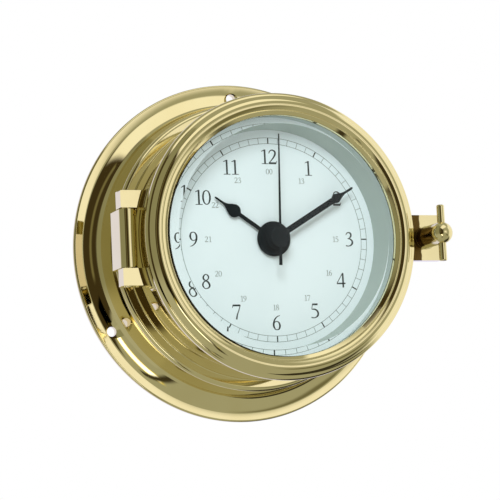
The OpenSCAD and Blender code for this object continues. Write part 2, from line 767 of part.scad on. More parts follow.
module rotor_pinion() color("#f0f0ea") front() translate(rotor_at) {
    toothed(rotor_teeth, m_step, rotor_teeth_h, 270);
    arbor([0, 0], [pivot_low_h, step_pivot_h], pivot_r);
    arbor([0, 0], [rotor_teeth_h[0] - 0.2, rotor_teeth_h[0] + eps], 0.8);
    arbor([0, 0], [rotor_teeth_h[1] - eps, magnet_h[0]], 1);
}

module rotor_magnet() color("#55585c") front() translate(rotor_at)
    tube(pivot_r, magnet_r, magnet_h[0], magnet_h[1]);

module intermediate_wheel() color(acetal) front() translate(intermediate_at) {
    toothed(intermediate_teeth[0], m_step, intermediate_wheel_h, gap_at(intermediate_teeth[0], 90));
    toothed(intermediate_teeth[1], m_step, intermediate_pinion_h, 270);
    arbor([0, 0], [intermediate_wheel_h[0] - 0.2, intermediate_pinion_h[0] + eps], 0.9);
    arbor([0, 0], [pivot_low_h, step_pivot_h], pivot_r);
}

module seconds_wheel() color(acetal) front() {
    toothed(seconds_teeth[0], m_step, seconds_wheel_h, gap_at(seconds_teeth[0], 90));
    toothed(seconds_teeth[1], m_third, seconds_pinion_h, 180);
    arbor([0, 0], [pivot_low_h, seconds_wheel_h[0] + eps], pivot_r);
    arbor([0, 0], [boss_h + 0.2, seconds_wheel_h[0] + eps], 1);
    arbor([0, 0], [seconds_wheel_h[0], second_arbor_end_h], arbor_r);
}

module third_wheel() color(acetal) front() translate(third_at) {
    toothed(third_teeth[0], m_third, third_wheel_h, gap_at(third_teeth[0], 0));
    toothed(third_teeth[1], m_centre, third_pinion_h, 0);
    arbor([0, 0], third_pivot_h, pivot_r);
    arbor([0, 0], third_arbor_h, arbor_r);
}

module centre_wheel() color(movement_brass) front() difference() {
    toothed(centre_teeth, m_centre, centre_wheel_h, gap_at(centre_teeth, 180));
    arbor([0, 0], centre_wheel_h + [-cut, cut], cannon_r);
}

module cannon_pinion() color(movement_brass) front() difference() {
    union() {
        arbor([0, 0], [cannon_low_h, cannon_end_h], cannon_r);
        toothed(cannon_teeth, m_motion, cannon_teeth_h, 0);
    }
    arbor([0, 0], [cannon_low_h - cut, cannon_end_h + cut], arbor_r + run_clear);
}

module motion_wheel() color(acetal) front() translate(motion_at) difference() {
    union() {
        toothed(motion_teeth[0], m_motion, motion_wheel_h, gap_at(motion_teeth[0], 180));
        toothed(motion_teeth[1], m_step, motion_pinion_h - [eps, 0], 180);
    }
    arbor([0, 0], [motion_wheel_h[0] - cut, motion_pinion_h[1] + cut], arbor_r + run_clear);
}

module hour_wheel() color(acetal) front() difference() {
    pipe_low_h = hour_wheel_h[0] - 0.1;
    union() {
        toothed(hour_teeth, m_step, hour_wheel_h, gap_at(hour_teeth, 0));
        arbor([0, 0], [pipe_low_h, hour_pipe_end_h], pipe_r);
    }
    arbor([0, 0], [pipe_low_h - cut, hour_pipe_end_h + cut], pipe_bore_r);
}

module setting_arbor() color(acetal) front() translate(setting_at) {
    toothed(setting_teeth, m_motion, setting_teeth_h, gap_at(setting_teeth, setting_turn + 180));
    arbor([0, 0], [knob_h[0], setting_teeth_h[0] + eps], setting_r);
    arbor([0, 0], [setting_teeth_h[1] - eps, third_pivot_h[1]], pivot_r);
}

module setting_knob() color(plastic) front() translate(setting_at) difference() {
    ridge = [0.5, 0.6, knob_h[1] - knob_h[0]];
    union() {
        arbor([0, 0], knob_h, knob_r);
        for (i = [1:knob_ridges]) rotate(i * 360 / knob_ridges)
            translate([knob_r - 0.1, -ridge[1] / 2, knob_h[0]]) cube(ridge);
    }
    arbor([0, 0], knob_h + [-cut, cut], setting_r);
}

case_body();
hinge_lug();
hinge_pin();
latch_lug();
dial();
dial_ring();
dial_screws();
movement_cover();
movement_housing();
dial_nut();
dial_washer();
train_bridge();
stator();
coil();
coil_core();
circuit_board();
control_chip();
quartz_crystal();
battery();
positive_contact();
negative_contact();
bezel_ring();
bezel_glass();
glass_gasket();
glass_retaining_ring();
bezel_seal();
latch_washer();
thumb_screw();
tommy_bar();
minute_hand();
cannon_pinion();
centre_wheel();
hour_hand();
hour_wheel();
seconds_hand();
seconds_wheel();
third_wheel();
intermediate_wheel();
rotor_pinion();
rotor_magnet();
motion_wheel();
setting_arbor();
setting_knob();
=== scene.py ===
"""Looks of the ships deck clock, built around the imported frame.

The row frame has its origin at the centre of the mounting face, +Z up, and the clock faces -Y.
Pieces are drawn in the clock's own frame, in millimetres: x to the right, y up, and h the
height above the mounting face. place() turns that into the row frame, in metres.
"""
import math

import bmesh
import bpy
from mathutils import Matrix, Vector


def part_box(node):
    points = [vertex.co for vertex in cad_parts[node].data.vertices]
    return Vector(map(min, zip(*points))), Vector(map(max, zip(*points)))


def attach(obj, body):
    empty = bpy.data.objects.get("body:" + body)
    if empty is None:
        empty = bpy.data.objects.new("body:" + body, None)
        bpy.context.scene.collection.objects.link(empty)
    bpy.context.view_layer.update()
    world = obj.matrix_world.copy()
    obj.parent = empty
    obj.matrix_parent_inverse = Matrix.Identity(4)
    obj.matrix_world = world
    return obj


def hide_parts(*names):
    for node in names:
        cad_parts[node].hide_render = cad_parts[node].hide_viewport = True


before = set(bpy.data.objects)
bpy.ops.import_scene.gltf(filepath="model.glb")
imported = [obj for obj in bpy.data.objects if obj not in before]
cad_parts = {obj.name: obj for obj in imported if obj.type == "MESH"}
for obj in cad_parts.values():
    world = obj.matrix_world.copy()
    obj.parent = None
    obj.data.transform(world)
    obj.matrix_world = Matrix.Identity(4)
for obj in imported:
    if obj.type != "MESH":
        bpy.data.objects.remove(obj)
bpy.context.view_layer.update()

MM = 0.001
TURN_STEPS = 192          # segments round a turned part
FITTING_STEPS = 96        # segments round a small turned part
ROUND_STEPS = 5           # segments round an edge's fillet
TOUCH = 0.02              # gap in millimetres between faces that touch
SHARP = math.radians(32)  # edges sharper than this stay crisp
FILLET_SHARE = 0.48       # most of an outline's side that a fillet at one end may take


# ---------------------------------------------------------------- measures taken from the frame

def mm_box(node):
    """A node's (x, y, h) low and high corners in the clock's own frame, in millimetres."""
    low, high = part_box(node)
    return (Vector((low.x, low.z, -high.y)) / MM, Vector((high.x, high.z, -low.y)) / MM)


def top(node):
    """Height of a node's front, in millimetres."""
    return mm_box(node)[1].z


def bottom(node):
    """Height of a node's rear, in millimetres."""
    return mm_box(node)[0].z


def outer_r(node):
    """Radius of a turned node, in millimetres."""
    low, high = mm_box(node)
    return max(high.x - low.x, high.y - low.y) / 2


# ---------------------------------------------------------------- mesh tools

def place(x, y, h):
    """Point of the row frame, in metres, for one in the clock's own frame."""
    return Vector((x, -h, y)) * MM


def mark_crisp(bm):
    """Shades a mesh smooth, except across its sharper edges."""
    for f in bm.faces:
        f.smooth = True
    for e in bm.edges:
        e.smooth = len(e.link_faces) == 2 and e.calc_face_angle(0) < SHARP


def new_object(name, bm):
    """Object from a bmesh drawn in the clock's own frame, in millimetres."""
    for v in bm.verts:
        v.co = place(*v.co)
    bmesh.ops.recalc_face_normals(bm, faces=bm.faces)
    mark_crisp(bm)
    mesh = bpy.data.meshes.new(name)
    bm.to_mesh(mesh)
    bm.free()
    obj = bpy.data.objects.new(name, mesh)
    bpy.context.scene.collection.objects.link(obj)
    return obj


def rounded(corners, closed=True):
    """Points of an outline whose corners are (a, b) or (a, b, fillet radius)."""
    count = len(corners)
    out = []
    for i, corner in enumerate(corners):
        here = Vector(corner[:2])
        radius = corner[2] if len(corner) > 2 else 0
        if not radius or (not closed and i in (0, count - 1)):
            out.append(here)
            continue
        back = Vector(corners[i - 1][:2]) - here
        ahead = Vector(corners[(i + 1) % count][:2]) - here
        back_len, ahead_len = back.length, ahead.length
        back.normalize()
        ahead.normalize()
        half = back.angle(ahead) / 2
        reach = min(radius / math.tan(half), back_len * FILLET_SHARE, ahead_len * FILLET_SHARE)
        radius = reach * math.tan(half)
        centre = here + (back + ahead).normalized() * (radius / math.sin(half))
        start, end = here + back * reach - centre, here + ahead * reach - centre
        sweep = math.atan2(start.x * end.y - start.y * end.x, start.dot(end))
        for k in range(ROUND_STEPS + 1):
            turn = Matrix.Rotation(sweep * k / ROUND_STEPS, 2)
            out.append(centre + turn @ start)
    return out


def at_angle(r, degrees):
    """Point at a radius and an angle round the clock's axis."""
    turn = math.radians(degrees)
    return (r * math.cos(turn), r * math.sin(turn))


def arc_points(cx, cy, r, start, end, steps=16):
    """Points along an arc, from one angle in degrees to another."""
    return [(cx + r * math.cos(math.radians(start + (end - start) * i / steps)),
             cy + r * math.sin(math.radians(start + (end - start) * i / steps)))
            for i in range(steps + 1)]


def lathe(bm, outline, centre=(0, 0), steps=TURN_STEPS):
    """Turns a closed (radius, height) outline round a centre. Points on the axis become poles."""
    rings = []
    for r, h in outline:
        if r < 1e-6:
            rings.append([bm.verts.new((centre[0], centre[1], h))])
        else:
            rings.append([bm.verts.new((centre[0] + r * math.cos(2 * math.pi * k / steps),
                                        centre[1] + r * math.sin(2 * math.pi * k / steps), h))
                          for k in range(steps)])
    for a, b in zip(rings, rings[1:] + rings[:1]):
        for k in range(steps):
            n = (k + 1) % steps
            corners = [a[k % len(a)], a[n % len(a)], b[n % len(b)], b[k % len(b)]]
            unique = list(dict.fromkeys(corners))
            if len(unique) > 2:
                bm.faces.new(unique)


def prism(bm, outline, low, high, to_frame=None):
    """Straight solid over an outline. to_frame turns (a, b, along) into clock coordinates."""
    to_frame = to_frame or (lambda a, b, along: (a, b, along))
    lower = [bm.verts.new(to_frame(p[0], p[1], low)) for p in outline]
    upper = [bm.verts.new(to_frame(p[0], p[1], high)) for p in outline]
    bm.faces.new(lower[::-1])
    bm.faces.new(upper)
    for i in range(len(outline)):
        n = (i + 1) % len(outline)
        bm.faces.new([lower[i], lower[n], upper[n], upper[i]])


def turned(name, outline, centre=(0, 0), steps=TURN_STEPS):
    """Object turned from a closed (radius, height) outline, on an axis that points forward."""
    bm = bmesh.new()
    lathe(bm, outline, centre, steps)
    return new_object(name, bm)


def turned_upright(name, outline, x, h, steps=64):
    """Object turned from a closed (radius, y) outline, on the upright axis through (x, h)."""
    bm = bmesh.new()
    lathe(bm, outline, (0, 0), steps)
    for v in bm.verts:
        v.co = (x + v.co.x, v.co.z, h + v.co.y)
    return new_object(name, bm)


def straight(name, outline, low, high, to_frame=None):
    """Object of one prism."""
    bm = bmesh.new()
    prism(bm, outline, low, high, to_frame)
    return new_object(name, bm)


def across_y(a, b, along):
    """For prism: an (x, h) outline, drawn out along y."""
    return (a, along, b)


def soften(obj, width, angle=30, segments=3):
    """Rounds a piece's crisp edges with real geometry."""
    bevel = obj.modifiers.new("edge", "BEVEL")
    bevel.width = width * MM
    bevel.segments = segments
    bevel.limit_method = "ANGLE"
    bevel.angle_limit = math.radians(angle)
    bevel.harden_normals = False
    apply_modifiers(obj)


def combine(obj, other, operation):
    """Boolean of two pieces, keeping the first."""
    boolean = obj.modifiers.new("join", "BOOLEAN")
    boolean.operation = operation
    boolean.solver = "EXACT"
    boolean.object = other
    apply_modifiers(obj)
    bpy.data.objects.remove(other)


def settle_modifiers(obj):
    """Puts the result of an object's modifiers in place of its mesh."""
    bpy.context.view_layer.update()
    mesh = bpy.data.meshes.new_from_object(obj.evaluated_get(bpy.context.evaluated_depsgraph_get()))
    old = obj.data
    obj.modifiers.clear()
    obj.data = mesh
    bpy.data.meshes.remove(old)


def apply_modifiers(obj):
    """Settles modifiers that change the shape, and marks the new shape's sharp edges."""
    settle_modifiers(obj)
    bm = bmesh.new()
    bm.from_mesh(obj.data)
    mark_crisp(bm)
    bm.to_mesh(obj.data)
    bm.free()


def weigh_normals(obj):
    """Keeps flats flat beside their rounded edges."""
    weighted = obj.modifiers.new("normals", "WEIGHTED_NORMAL")
    weighted.mode = "FACE_AREA"
    weighted.weight = 100
    weighted.keep_sharp = True
    settle_modifiers(obj)


def finish_piece(obj, material, body, slot, *nodes):
    """Gives a piece its material, the body it rides on and the nodes it stands for. The slot is not used.
    """
    weigh_normals(obj)
    obj.data.materials.clear()
    obj.data.materials.append(material)
    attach(obj, body)
    if nodes:
        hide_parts(*nodes)
    return obj


# ---------------------------------------------------------------- node tools

def new_material(name):
    """Material with a Principled shader, and its node tree and shader."""
    mat = bpy.data.materials.new(name)
    mat.use_nodes = True
    tree = mat.node_tree
    return mat, tree, tree.nodes["Principled BSDF"]


def node(tree, kind, **inputs):
    """Adds a node. Inputs are given by name, as a value or as another node's output socket."""
    made = tree.nodes.new(kind)
    for key, value in inputs.items():
        if hasattr(made, key):
            setattr(made, key, value)
            continue
        socket = made.inputs[int(key[1:])] if key[0] == "i" and key[1:].isdigit() else made.inputs[key]
        if isinstance(value, bpy.types.NodeSocket):
            tree.links.new(value, socket)
        else:
            socket.default_value = value
    return made


def maths(tree, operation, a, b=0.0):
    """Output of a Math node."""
    return node(tree, "ShaderNodeMath", operation=operation, i0=a, i1=b).outputs[0]


def remap(tree, value, low, high, to_low, to_high, smooth=False):
    """Output of a Map Range node."""
    kind = "SMOOTHSTEP" if smooth else "LINEAR"
    return node(tree, "ShaderNodeMapRange", interpolation_type=kind, i0=value, i1=low, i2=high,
                i3=to_low, i4=to_high).outputs[0]


def noise(tree, vector, scale, detail=3.0, rough=0.5):
    """Output of a Noise Texture node."""
    return node(tree, "ShaderNodeTexNoise", Vector=vector, Scale=scale, Detail=detail,
                Roughness=rough).outputs["Fac"]


def blend_colours(tree, factor, first, second):
    """Output of a colour mix. Colours are (r, g, b) or another node's output socket."""
    mix = tree.nodes.new("ShaderNodeMix")
    mix.data_type = "RGBA"
    sockets = (mix.inputs["Factor"], mix.inputs[6], mix.inputs[7])
    for socket, value in zip(sockets, (factor, first, second)):
        if isinstance(value, bpy.types.NodeSocket):
            tree.links.new(value, socket)
        else:
            socket.default_value = (*value, 1) if hasattr(value, "__len__") and len(value) == 3 else value
    return mix.outputs[2]


def object_vector(tree):
    """The piece's own coordinates, in metres."""
    return node(tree, "ShaderNodeTexCoord").outputs["Object"]


def turned_vector(tree, across=2200.0, along=6.0):
    """Coordinates that are fine across the turning lines and long along them."""
    x, y, z = node(tree, "ShaderNodeSeparateXYZ", Vector=object_vector(tree)).outputs
    squares = maths(tree, "ADD", maths(tree, "MULTIPLY", x, x), maths(tree, "MULTIPLY", z, z))
    radius = maths(tree, "SQRT", squares)
    safe = maths(tree, "MAXIMUM", radius, 0.0001)
    run = maths(tree, "MULTIPLY", maths(tree, "ADD", radius, y), across)
    return node(tree, "ShaderNodeCombineXYZ",
                X=maths(tree, "MULTIPLY", maths(tree, "DIVIDE", x, safe), along),
                Y=maths(tree, "MULTIPLY", maths(tree, "DIVIDE", z, safe), along), Z=run).outputs[0]


def bumped(tree, shader, height, strength, distance):
    """Bump of a height, whose distance is in metres."""
    bump = node(tree, "ShaderNodeBump", Height=height, Strength=strength, Distance=distance)
    tree.links.new(bump.outputs[0], shader.inputs["Normal"])


# ---------------------------------------------------------------- materials

BRASS_LIGHT = (0.86, 0.765, 0.44)
BRASS_WARM = (0.82, 0.715, 0.385)
PAINTED_REFLECTION_BROWN = (0.16, 0.10, 0.03)
POLISH_DEPTH, GRAIN_DEPTH, WIRE_DEPTH = 0.00002, 0.00003, 0.00005  # distances of bumps, in metres
WIRE_PITCH = 0.18         # millimetres between the coil's wires

# painted dark reflection: a brown patch in the corner at the root of the latch lug, in millimetres:
# each pair is the span over which the brown comes in or goes out
REFLECTION_X_IN, REFLECTION_X_OUT = (60.9, 61.5), (68.8, 69.3)
REFLECTION_H_IN, REFLECTION_H_OUT = (50.3, 50.8), (55.0, 56.6)
REFLECTION_Y_OUT = (15.0, 17.0)
REFLECTION_WANDER = 0.25 * MM


def unpolished(tree):
    """How far a point is in the painted dark reflection at the root of the latch lug, from 0 to 1."""
    parts = node(tree, "ShaderNodeSeparateXYZ", Vector=object_vector(tree))
    patches = noise(tree, object_vector(tree), 300.0)
    across = maths(tree, "ADD", parts.outputs[0],
                   remap(tree, patches, 0.3, 0.7, -REFLECTION_WANDER, REFLECTION_WANDER))
    front = maths(tree, "SUBTRACT", 0.0, parts.outputs[1])
    up = maths(tree, "ABSOLUTE", parts.outputs[2])
    cover = remap(tree, across, REFLECTION_X_OUT[0] * MM, REFLECTION_X_OUT[1] * MM, 1.0, 0.0, True)
    for value, (low, high), start in ((across, REFLECTION_X_IN, 0.0), (front, REFLECTION_H_IN, 0.0),
                                      (front, REFLECTION_H_OUT, 1.0), (up, REFLECTION_Y_OUT, 1.0)):
        edge = remap(tree, value, low * MM, high * MM, start, 1.0 - start, True)
        cover = maths(tree, "MULTIPLY", cover, edge)
    return cover


def brass(name, vector_of, rough=0.04, lines=0.005):
    """Polished and lacquered brass: faint tarnish clouds, fine polishing lines, a few specks, and a
    painted dark reflection at the root of the latch lug.
    """
    mat, tree, shader = new_material(name)
    place_of = object_vector(tree)
    clouds = noise(tree, place_of, 55.0, 4.0, 0.6)
    specks = noise(tree, place_of, 2600.0, 2.0)
    polish = noise(tree, vector_of(tree), 1.0, 5.0, 0.65)
    shade = blend_colours(tree, remap(tree, clouds, 0.35, 0.7, 0.0, 0.55, True), BRASS_LIGHT, BRASS_WARM)
    # painted dark reflection: the brass turns brown, and a little rougher, at the root of the latch lug
    corner = unpolished(tree)
    tree.links.new(blend_colours(tree, corner, shade, PAINTED_REFLECTION_BROWN), shader.inputs["Base Color"])
    shader.inputs["Metallic"].default_value = 1.0
    worn = maths(tree, "ADD", remap(tree, clouds, 0.3, 0.8, rough * 0.7, rough * 1.5),
                 remap(tree, specks, 0.62, 0.72, 0.0, 0.06))
    worn = maths(tree, "ADD", worn, maths(tree, "MULTIPLY", corner, 0.25))
    tree.links.new(maths(tree, "ADD", worn, remap(tree, polish, 0.3, 0.7, -0.012, 0.012)),
                   shader.inputs["Roughness"])
    bumped(tree, shader, polish, lines, POLISH_DEPTH)
    return mat


def painted(name, colour, dark, rough, grain_scale=900.0, grain=0.1, shine=0.5):
    """Painted or moulded surface with faint mottling and a fine grain."""
    mat, tree, shader = new_material(name)
    place_of = object_vector(tree)
    clouds = noise(tree, place_of, 70.0, 4.0)
    fine = noise(tree, place_of, grain_scale, 3.0)
    tree.links.new(blend_colours(tree, remap(tree, clouds, 0.3, 0.7, 0.0, 1.0), colour, dark),
                   shader.inputs["Base Color"])
    tree.links.new(remap(tree, fine, 0.3, 0.7, rough * 0.85, rough * 1.15), shader.inputs["Roughness"])
    shader.inputs["Specular IOR Level"].default_value = shine
    bumped(tree, shader, fine, grain, GRAIN_DEPTH)
    return mat


def metal(name, colour, dark, rough, scale=400.0):
    """Bare metal with faint clouds and a fine grain."""
    mat, tree, shader = new_material(name)
    place_of = object_vector(tree)
    clouds = noise(tree, place_of, 120.0, 4.0)
    fine = noise(tree, place_of, scale, 4.0)
    tree.links.new(blend_colours(tree, remap(tree, clouds, 0.3, 0.7, 0.0, 1.0), colour, dark),
                   shader.inputs["Base Color"])
    shader.inputs["Metallic"].default_value = 1.0
    tree.links.new(remap(tree, fine, 0.3, 0.7, rough * 0.7, rough * 1.3), shader.inputs["Roughness"])
    bumped(tree, shader, fine, 0.08, GRAIN_DEPTH)
    return mat


def glass_material():
    """Clear float glass with the faintest green and a few wipe marks."""
    mat, tree, shader = new_material("bevelled_glass")
    smears = noise(tree, object_vector(tree), 45.0, 5.0, 0.7)
    shader.inputs["Base Color"].default_value = (0.975, 0.995, 0.99, 1)
    shader.inputs["Transmission Weight"].default_value = 1.0
    shader.inputs["IOR"].default_value = 1.5
    shader.inputs["Specular Tint"].default_value = (0.3, 0.3, 0.3, 1)
    tree.links.new(remap(tree, smears, 0.6, 0.85, 0.0, 0.012), shader.inputs["Roughness"])
    return mat


def wound_wire():
    """Enamelled copper wire, wound side by side along the coil, with painted shade between the wires."""
    mat, tree, shader = new_material("copper_winding")
    parts = node(tree, "ShaderNodeSeparateXYZ", Vector=object_vector(tree))
    wires = maths(tree, "SINE", maths(tree, "MULTIPLY", parts.outputs[0], 2 * math.pi / (WIRE_PITCH * MM)))
    # painted shade: the colour darkens in the troughs between the wires and lightens on their crests
    crests = remap(tree, wires, -1.0, 0.2, 0.0, 1.0)
    tree.links.new(blend_colours(tree, crests, (0.22, 0.07, 0.03), (0.74, 0.30, 0.12)),
                   shader.inputs["Base Color"])
    shader.inputs["Metallic"].default_value = 0.8
    tree.links.new(remap(tree, wires, -1.0, 1.0, 0.45, 0.25), shader.inputs["Roughness"])
    bumped(tree, shader, wires, 0.6, WIRE_DEPTH)
    return mat


latch_x = (mm_box("thumb_screw")[0].x + mm_box("thumb_screw")[1].x) / 2

MAT = {
    "brass": brass("polished_brass", turned_vector),
    "brass_small": brass("polished_brass_fittings", object_vector, 0.11, 0.004),
    "brass_plain": brass("polished_brass_lugs", object_vector, 0.04, 0.008),
    "dial": painted("dial_enamel", (0.80, 0.905, 0.95), (0.785, 0.89, 0.935), 0.45, 1400.0, 0.04),
    "dial_ring": painted("dial_ring_satin", (0.395, 0.475, 0.45), (0.37, 0.45, 0.425), 0.35, 1200.0, 0.05),
    "print": painted("dial_print", (0.012, 0.022, 0.022), (0.018, 0.028, 0.028), 0.5, 2000.0, 0.1),
    "print_grey": painted("dial_print_grey", (0.30, 0.35, 0.345), (0.27, 0.32, 0.315), 0.5, 2000.0, 0.1),
    "print_track": painted("dial_print_track", (0.17, 0.225, 0.215), (0.14, 0.195, 0.185), 0.5,
                           2000.0, 0.1),
    "hand": painted("hand_satin_black", (0.007, 0.011, 0.013), (0.010, 0.014, 0.017), 0.28,
                    1500.0, 0.08, 0.06),
    "glass": glass_material(),
    "rubber": painted("black_rubber", (0.018, 0.018, 0.018), (0.028, 0.028, 0.027), 0.75, 600.0, 0.4),
    "moulded": painted("moulded_plastic", (0.62, 0.60, 0.54), (0.58, 0.56, 0.50), 0.5, 1100.0, 0.35),
    "bridge": painted("bridge_plastic", (0.42, 0.40, 0.35), (0.38, 0.36, 0.31), 0.5, 1100.0, 0.3),
    "acetal": painted("wheel_acetal", (0.76, 0.71, 0.56), (0.72, 0.67, 0.52), 0.38, 1500.0, 0.1),
    "turned_brass": metal("turned_brass", (0.78, 0.60, 0.28), (0.70, 0.51, 0.22), 0.22),
    "steel": metal("rolled_steel", (0.60, 0.61, 0.62), (0.50, 0.51, 0.52), 0.3),
    "magnet": metal("sintered_magnet", (0.17, 0.18, 0.19), (0.12, 0.13, 0.14), 0.55, 900.0),
    "copper": wound_wire(),
    "board": painted("solder_mask_green", (0.03, 0.17, 0.06), (0.025, 0.14, 0.05), 0.3, 800.0, 0.25),
    "chip": painted("moulded_black", (0.015, 0.015, 0.016), (0.022, 0.022, 0.023), 0.5, 1500.0, 0.3),
    "battery": painted("battery_film", (0.035, 0.038, 0.045), (0.05, 0.053, 0.06), 0.25, 300.0, 0.05),
}

# slot of each material that the pieces made here use
SLOTS = {
    "brass": "polished_brass", "brass_small": "polished_brass", "brass_plain": "polished_brass",
    "dial": "dial_paint", "dial_ring": "dial_ring_paint", "print": "dial_paint",
    "print_grey": "dial_paint", "print_track": "dial_paint", "hand": "hand_black",
    "glass": "bezel_glass",
}

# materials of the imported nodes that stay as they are
CAD_MATERIALS = {
    "brass": ["glass_retaining_ring"],
    "dial": ["dial"],
    "rubber": ["glass_gasket", "bezel_seal"],
    "moulded": ["movement_cover", "movement_housing", "setting_knob"],
    "bridge": ["train_bridge"],
    "acetal": ["seconds_wheel", "third_wheel", "intermediate_wheel", "motion_wheel", "hour_wheel",
               "setting_arbor", "rotor_pinion"],
    "turned_brass": ["dial_nut", "dial_screws", "centre_wheel", "cannon_pinion",
                     "positive_contact", "negative_contact"],
    "steel": ["dial_washer", "stator", "coil_core", "quartz_crystal"],
    "magnet": ["rotor_magnet"],
    "copper": ["coil"],
    "board": ["circuit_board"],
    "chip": ["control_chip"],
    "battery": ["battery"],
}
for key, names in CAD_MATERIALS.items():
    for name in names:
        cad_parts[name].data.materials.clear()
        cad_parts[name].data.materials.append(MAT[key])


def finish(obj, key, body, *nodes):
    """finish_piece() with the material and slot of a key."""
    return finish_piece(obj, MAT[key], body, SLOTS[key], *nodes)


# ---------------------------------------------------------------- case

def catmull(points, per_span=5):
    """Smooth curve through points, which can have any number of parts."""
    pts = [Vector(p) for p in points]
    pts = [2 * pts[0] - pts[1], *pts, 2 * pts[-1] - pts[-2]]
    out = [pts[1]]
    for a, b, c, d in zip(pts, pts[1:], pts[2:], pts[3:]):
        for k in range(1, per_span + 1):
            t = k / per_span
            out.append(0.5 * (2 * b + (c - a) * t + (2 * a - 5 * b + 4 * c - d) * t * t
                              + (3 * b - a - 3 * c + d) * t ** 3))
    return out


flange_r = outer_r("case_body")
drum_h = top("case_body")
dial_face_h = top("dial")
dial_back_h = bottom("dial")

# heights and radii of the case's section, in millimetres
RIM_ROUND, RIM_EDGE = 1.6, 0.9  # rounding of the flange's rim behind and in front
RIM_R, RIM_H = 73.8, 3.2
COLLAR_FOOT_R = 66.0
DISH_SHALLOW, DISH_STEEP = 14.0, 34.0   # slope of the dished face at the rim and at the collar
DISH_STEPS = 8
COVE_R = 4.0                    # hollow between the dished face and the collar
COLLAR_TOP_R, COLLAR_H = 64.7, 20.2
SHOULDER_ROUND = 2.0
DRUM_R, DRUM_BORE_R = 59.5, 57.0
SEAT_R, SEAT_T = 54.0, 4.0      # ledge that carries the dial
HOLLOW_R, HOLLOW_H = 62.0, 18.0
HOLE_CIRCLE_R, HOLE_R, COUNTERSINK_R = 71.0, 2.2, 3.4
HOLE_FACE_H = 4.05              # height of the dished face round the mounting holes
DIAL_SCREW_R, DIAL_SCREW_TURNS = 55.2, (30, 150, 270)
KNUCKLE_R = 3.8


def case_outline():
    """Section of the case, from its hollow over the flange and drum to the ledge of the dial."""
    shoulder_foot_h = COLLAR_H + 0.4
    shoulder_h = shoulder_foot_h + SHOULDER_ROUND
    cove_r = COLLAR_FOOT_R + COVE_R * (1 - math.sin(math.radians(DISH_STEEP)))
    shallow, steep = math.tan(math.radians(DISH_SHALLOW)), math.tan(math.radians(DISH_STEEP))
    dish = []
    for i in range(1, DISH_STEPS + 1):
        t = i / DISH_STEPS
        run = (RIM_R - cove_r) * t
        dish.append((RIM_R - run, RIM_H + run * (shallow + (steep - shallow) * t / 2)))
    cove_h = dish[-1][1] + COVE_R * math.cos(math.radians(DISH_STEEP))
    cove = arc_points(COLLAR_FOOT_R + COVE_R, cove_h, COVE_R, 270 - DISH_STEEP, 180, 12)
    return rounded([
        (HOLLOW_R, 0), (flange_r - RIM_ROUND, 0),
        *arc_points(flange_r - RIM_ROUND, RIM_ROUND, RIM_ROUND, -80, 0, 6),
        *arc_points(flange_r - RIM_EDGE, RIM_H - RIM_EDGE, RIM_EDGE, 0, 90, 6),
        (RIM_R, RIM_H), *dish, *cove[1:],
        (COLLAR_TOP_R + 0.02, COLLAR_H - 0.6),
        *arc_points(COLLAR_TOP_R - SHOULDER_ROUND, shoulder_foot_h, SHOULDER_ROUND, 0, 90, 8),
        (DRUM_R, shoulder_h, 0.5), (DRUM_R, drum_h, 0.45), (DRUM_BORE_R, drum_h, 0.3),
        (DRUM_BORE_R, dial_back_h), (SEAT_R, dial_back_h, 0.2), (SEAT_R, dial_back_h - SEAT_T, 0.3),
        (DRUM_BORE_R, dial_back_h - SEAT_T - 3, 1), (DRUM_BORE_R, HOLLOW_H + 2, 1),
        (HOLLOW_R, HOLLOW_H, 1)])


def drill(piece, centre, r, low, high, steps=64):
    """Straight hole through a piece, between two heights."""
    outline = [(0, low), (r, low), (r, high), (0, high)]
    combine(piece, turned("drill", outline, centre, steps), "DIFFERENCE")


def build_case():
    case = turned("case_turning", case_outline())
    cone_low = HOLE_FACE_H - (COUNTERSINK_R - HOLE_R)
    countersunk = [(0, -1), (HOLE_R, -1), (HOLE_R, cone_low), (HOLE_R + 3, cone_low + 3),
                   (0, cone_low + 3)]
    for k in range(3):
        centre = at_angle(HOLE_CIRCLE_R, 90 + k * 120)
        combine(case, turned("countersink", countersunk, centre, 64), "DIFFERENCE")
    for turn in DIAL_SCREW_TURNS:
        drill(case, at_angle(DIAL_SCREW_R, turn), 0.8, dial_back_h - 3, dial_back_h + 1, 24)
    return finish(case, "brass", "case", "case_body")


def side_fillet(half, ring, fillet, steps):
    """Hollow fillet between a lug's side and the ring that it stands on: centre and points."""
    cy = half + fillet
    cx = math.sqrt((ring + fillet) ** 2 - cy ** 2)
    lean = math.degrees(math.atan2(cy, cx))
    return cx, cy, arc_points(cx, cy, fillet, 270, 180 + lean, steps)


def mirrored_back(points):
    """The points below the x axis that close a symmetrical outline."""
    return [(x, -y) for x, y in points[::-1]]


def lug_outline(end_x, half, ring, fillet, corner):
    """Front view of a lug that leaves a ring in hollow fillets."""
    cx, cy, upper = side_fillet(half, ring, fillet, 10)
    inner_x, inner_y = cx * (ring - 4) / (ring + fillet), cy * (ring - 4) / (ring + fillet)
    return rounded([(end_x, -half, corner), (end_x, half, corner), *upper, (inner_x, inner_y),
                    (inner_x, -inner_y), *mirrored_back(upper)])


def build_hinge_lug():
    low, high = mm_box("hinge_lug")
    pin_x, pin_h = low.x + KNUCKLE_R, high.z - KNUCKLE_R
    profile = [(-DRUM_R + 2, low.z), (-DRUM_R + 2, pin_h + 0.6), (pin_x + KNUCKLE_R, pin_h + 0.6, 0.3),
               *arc_points(pin_x, pin_h, KNUCKLE_R, 9, 180, 24),
               (low.x, 35.0, 1.5)]
    lug = straight("hinge_knuckle", rounded(profile), low.y, high.y, across_y)
    soften(lug, 0.22, 40)
    return finish(lug, "brass_plain", "case", "hinge_lug")


def build_hinge_pin():
    low, high = mm_box("hinge_pin")
    r = (high.x - low.x) / 2
    outline = rounded([(0, low.y), (r, low.y, 0.35), (r, high.y, 0.35), (0, high.y)], False)
    pin = turned_upright("hinge_pin_turned", outline, low.x + r, low.z + r)
    return finish(pin, "brass_plain", "case", "hinge_pin")


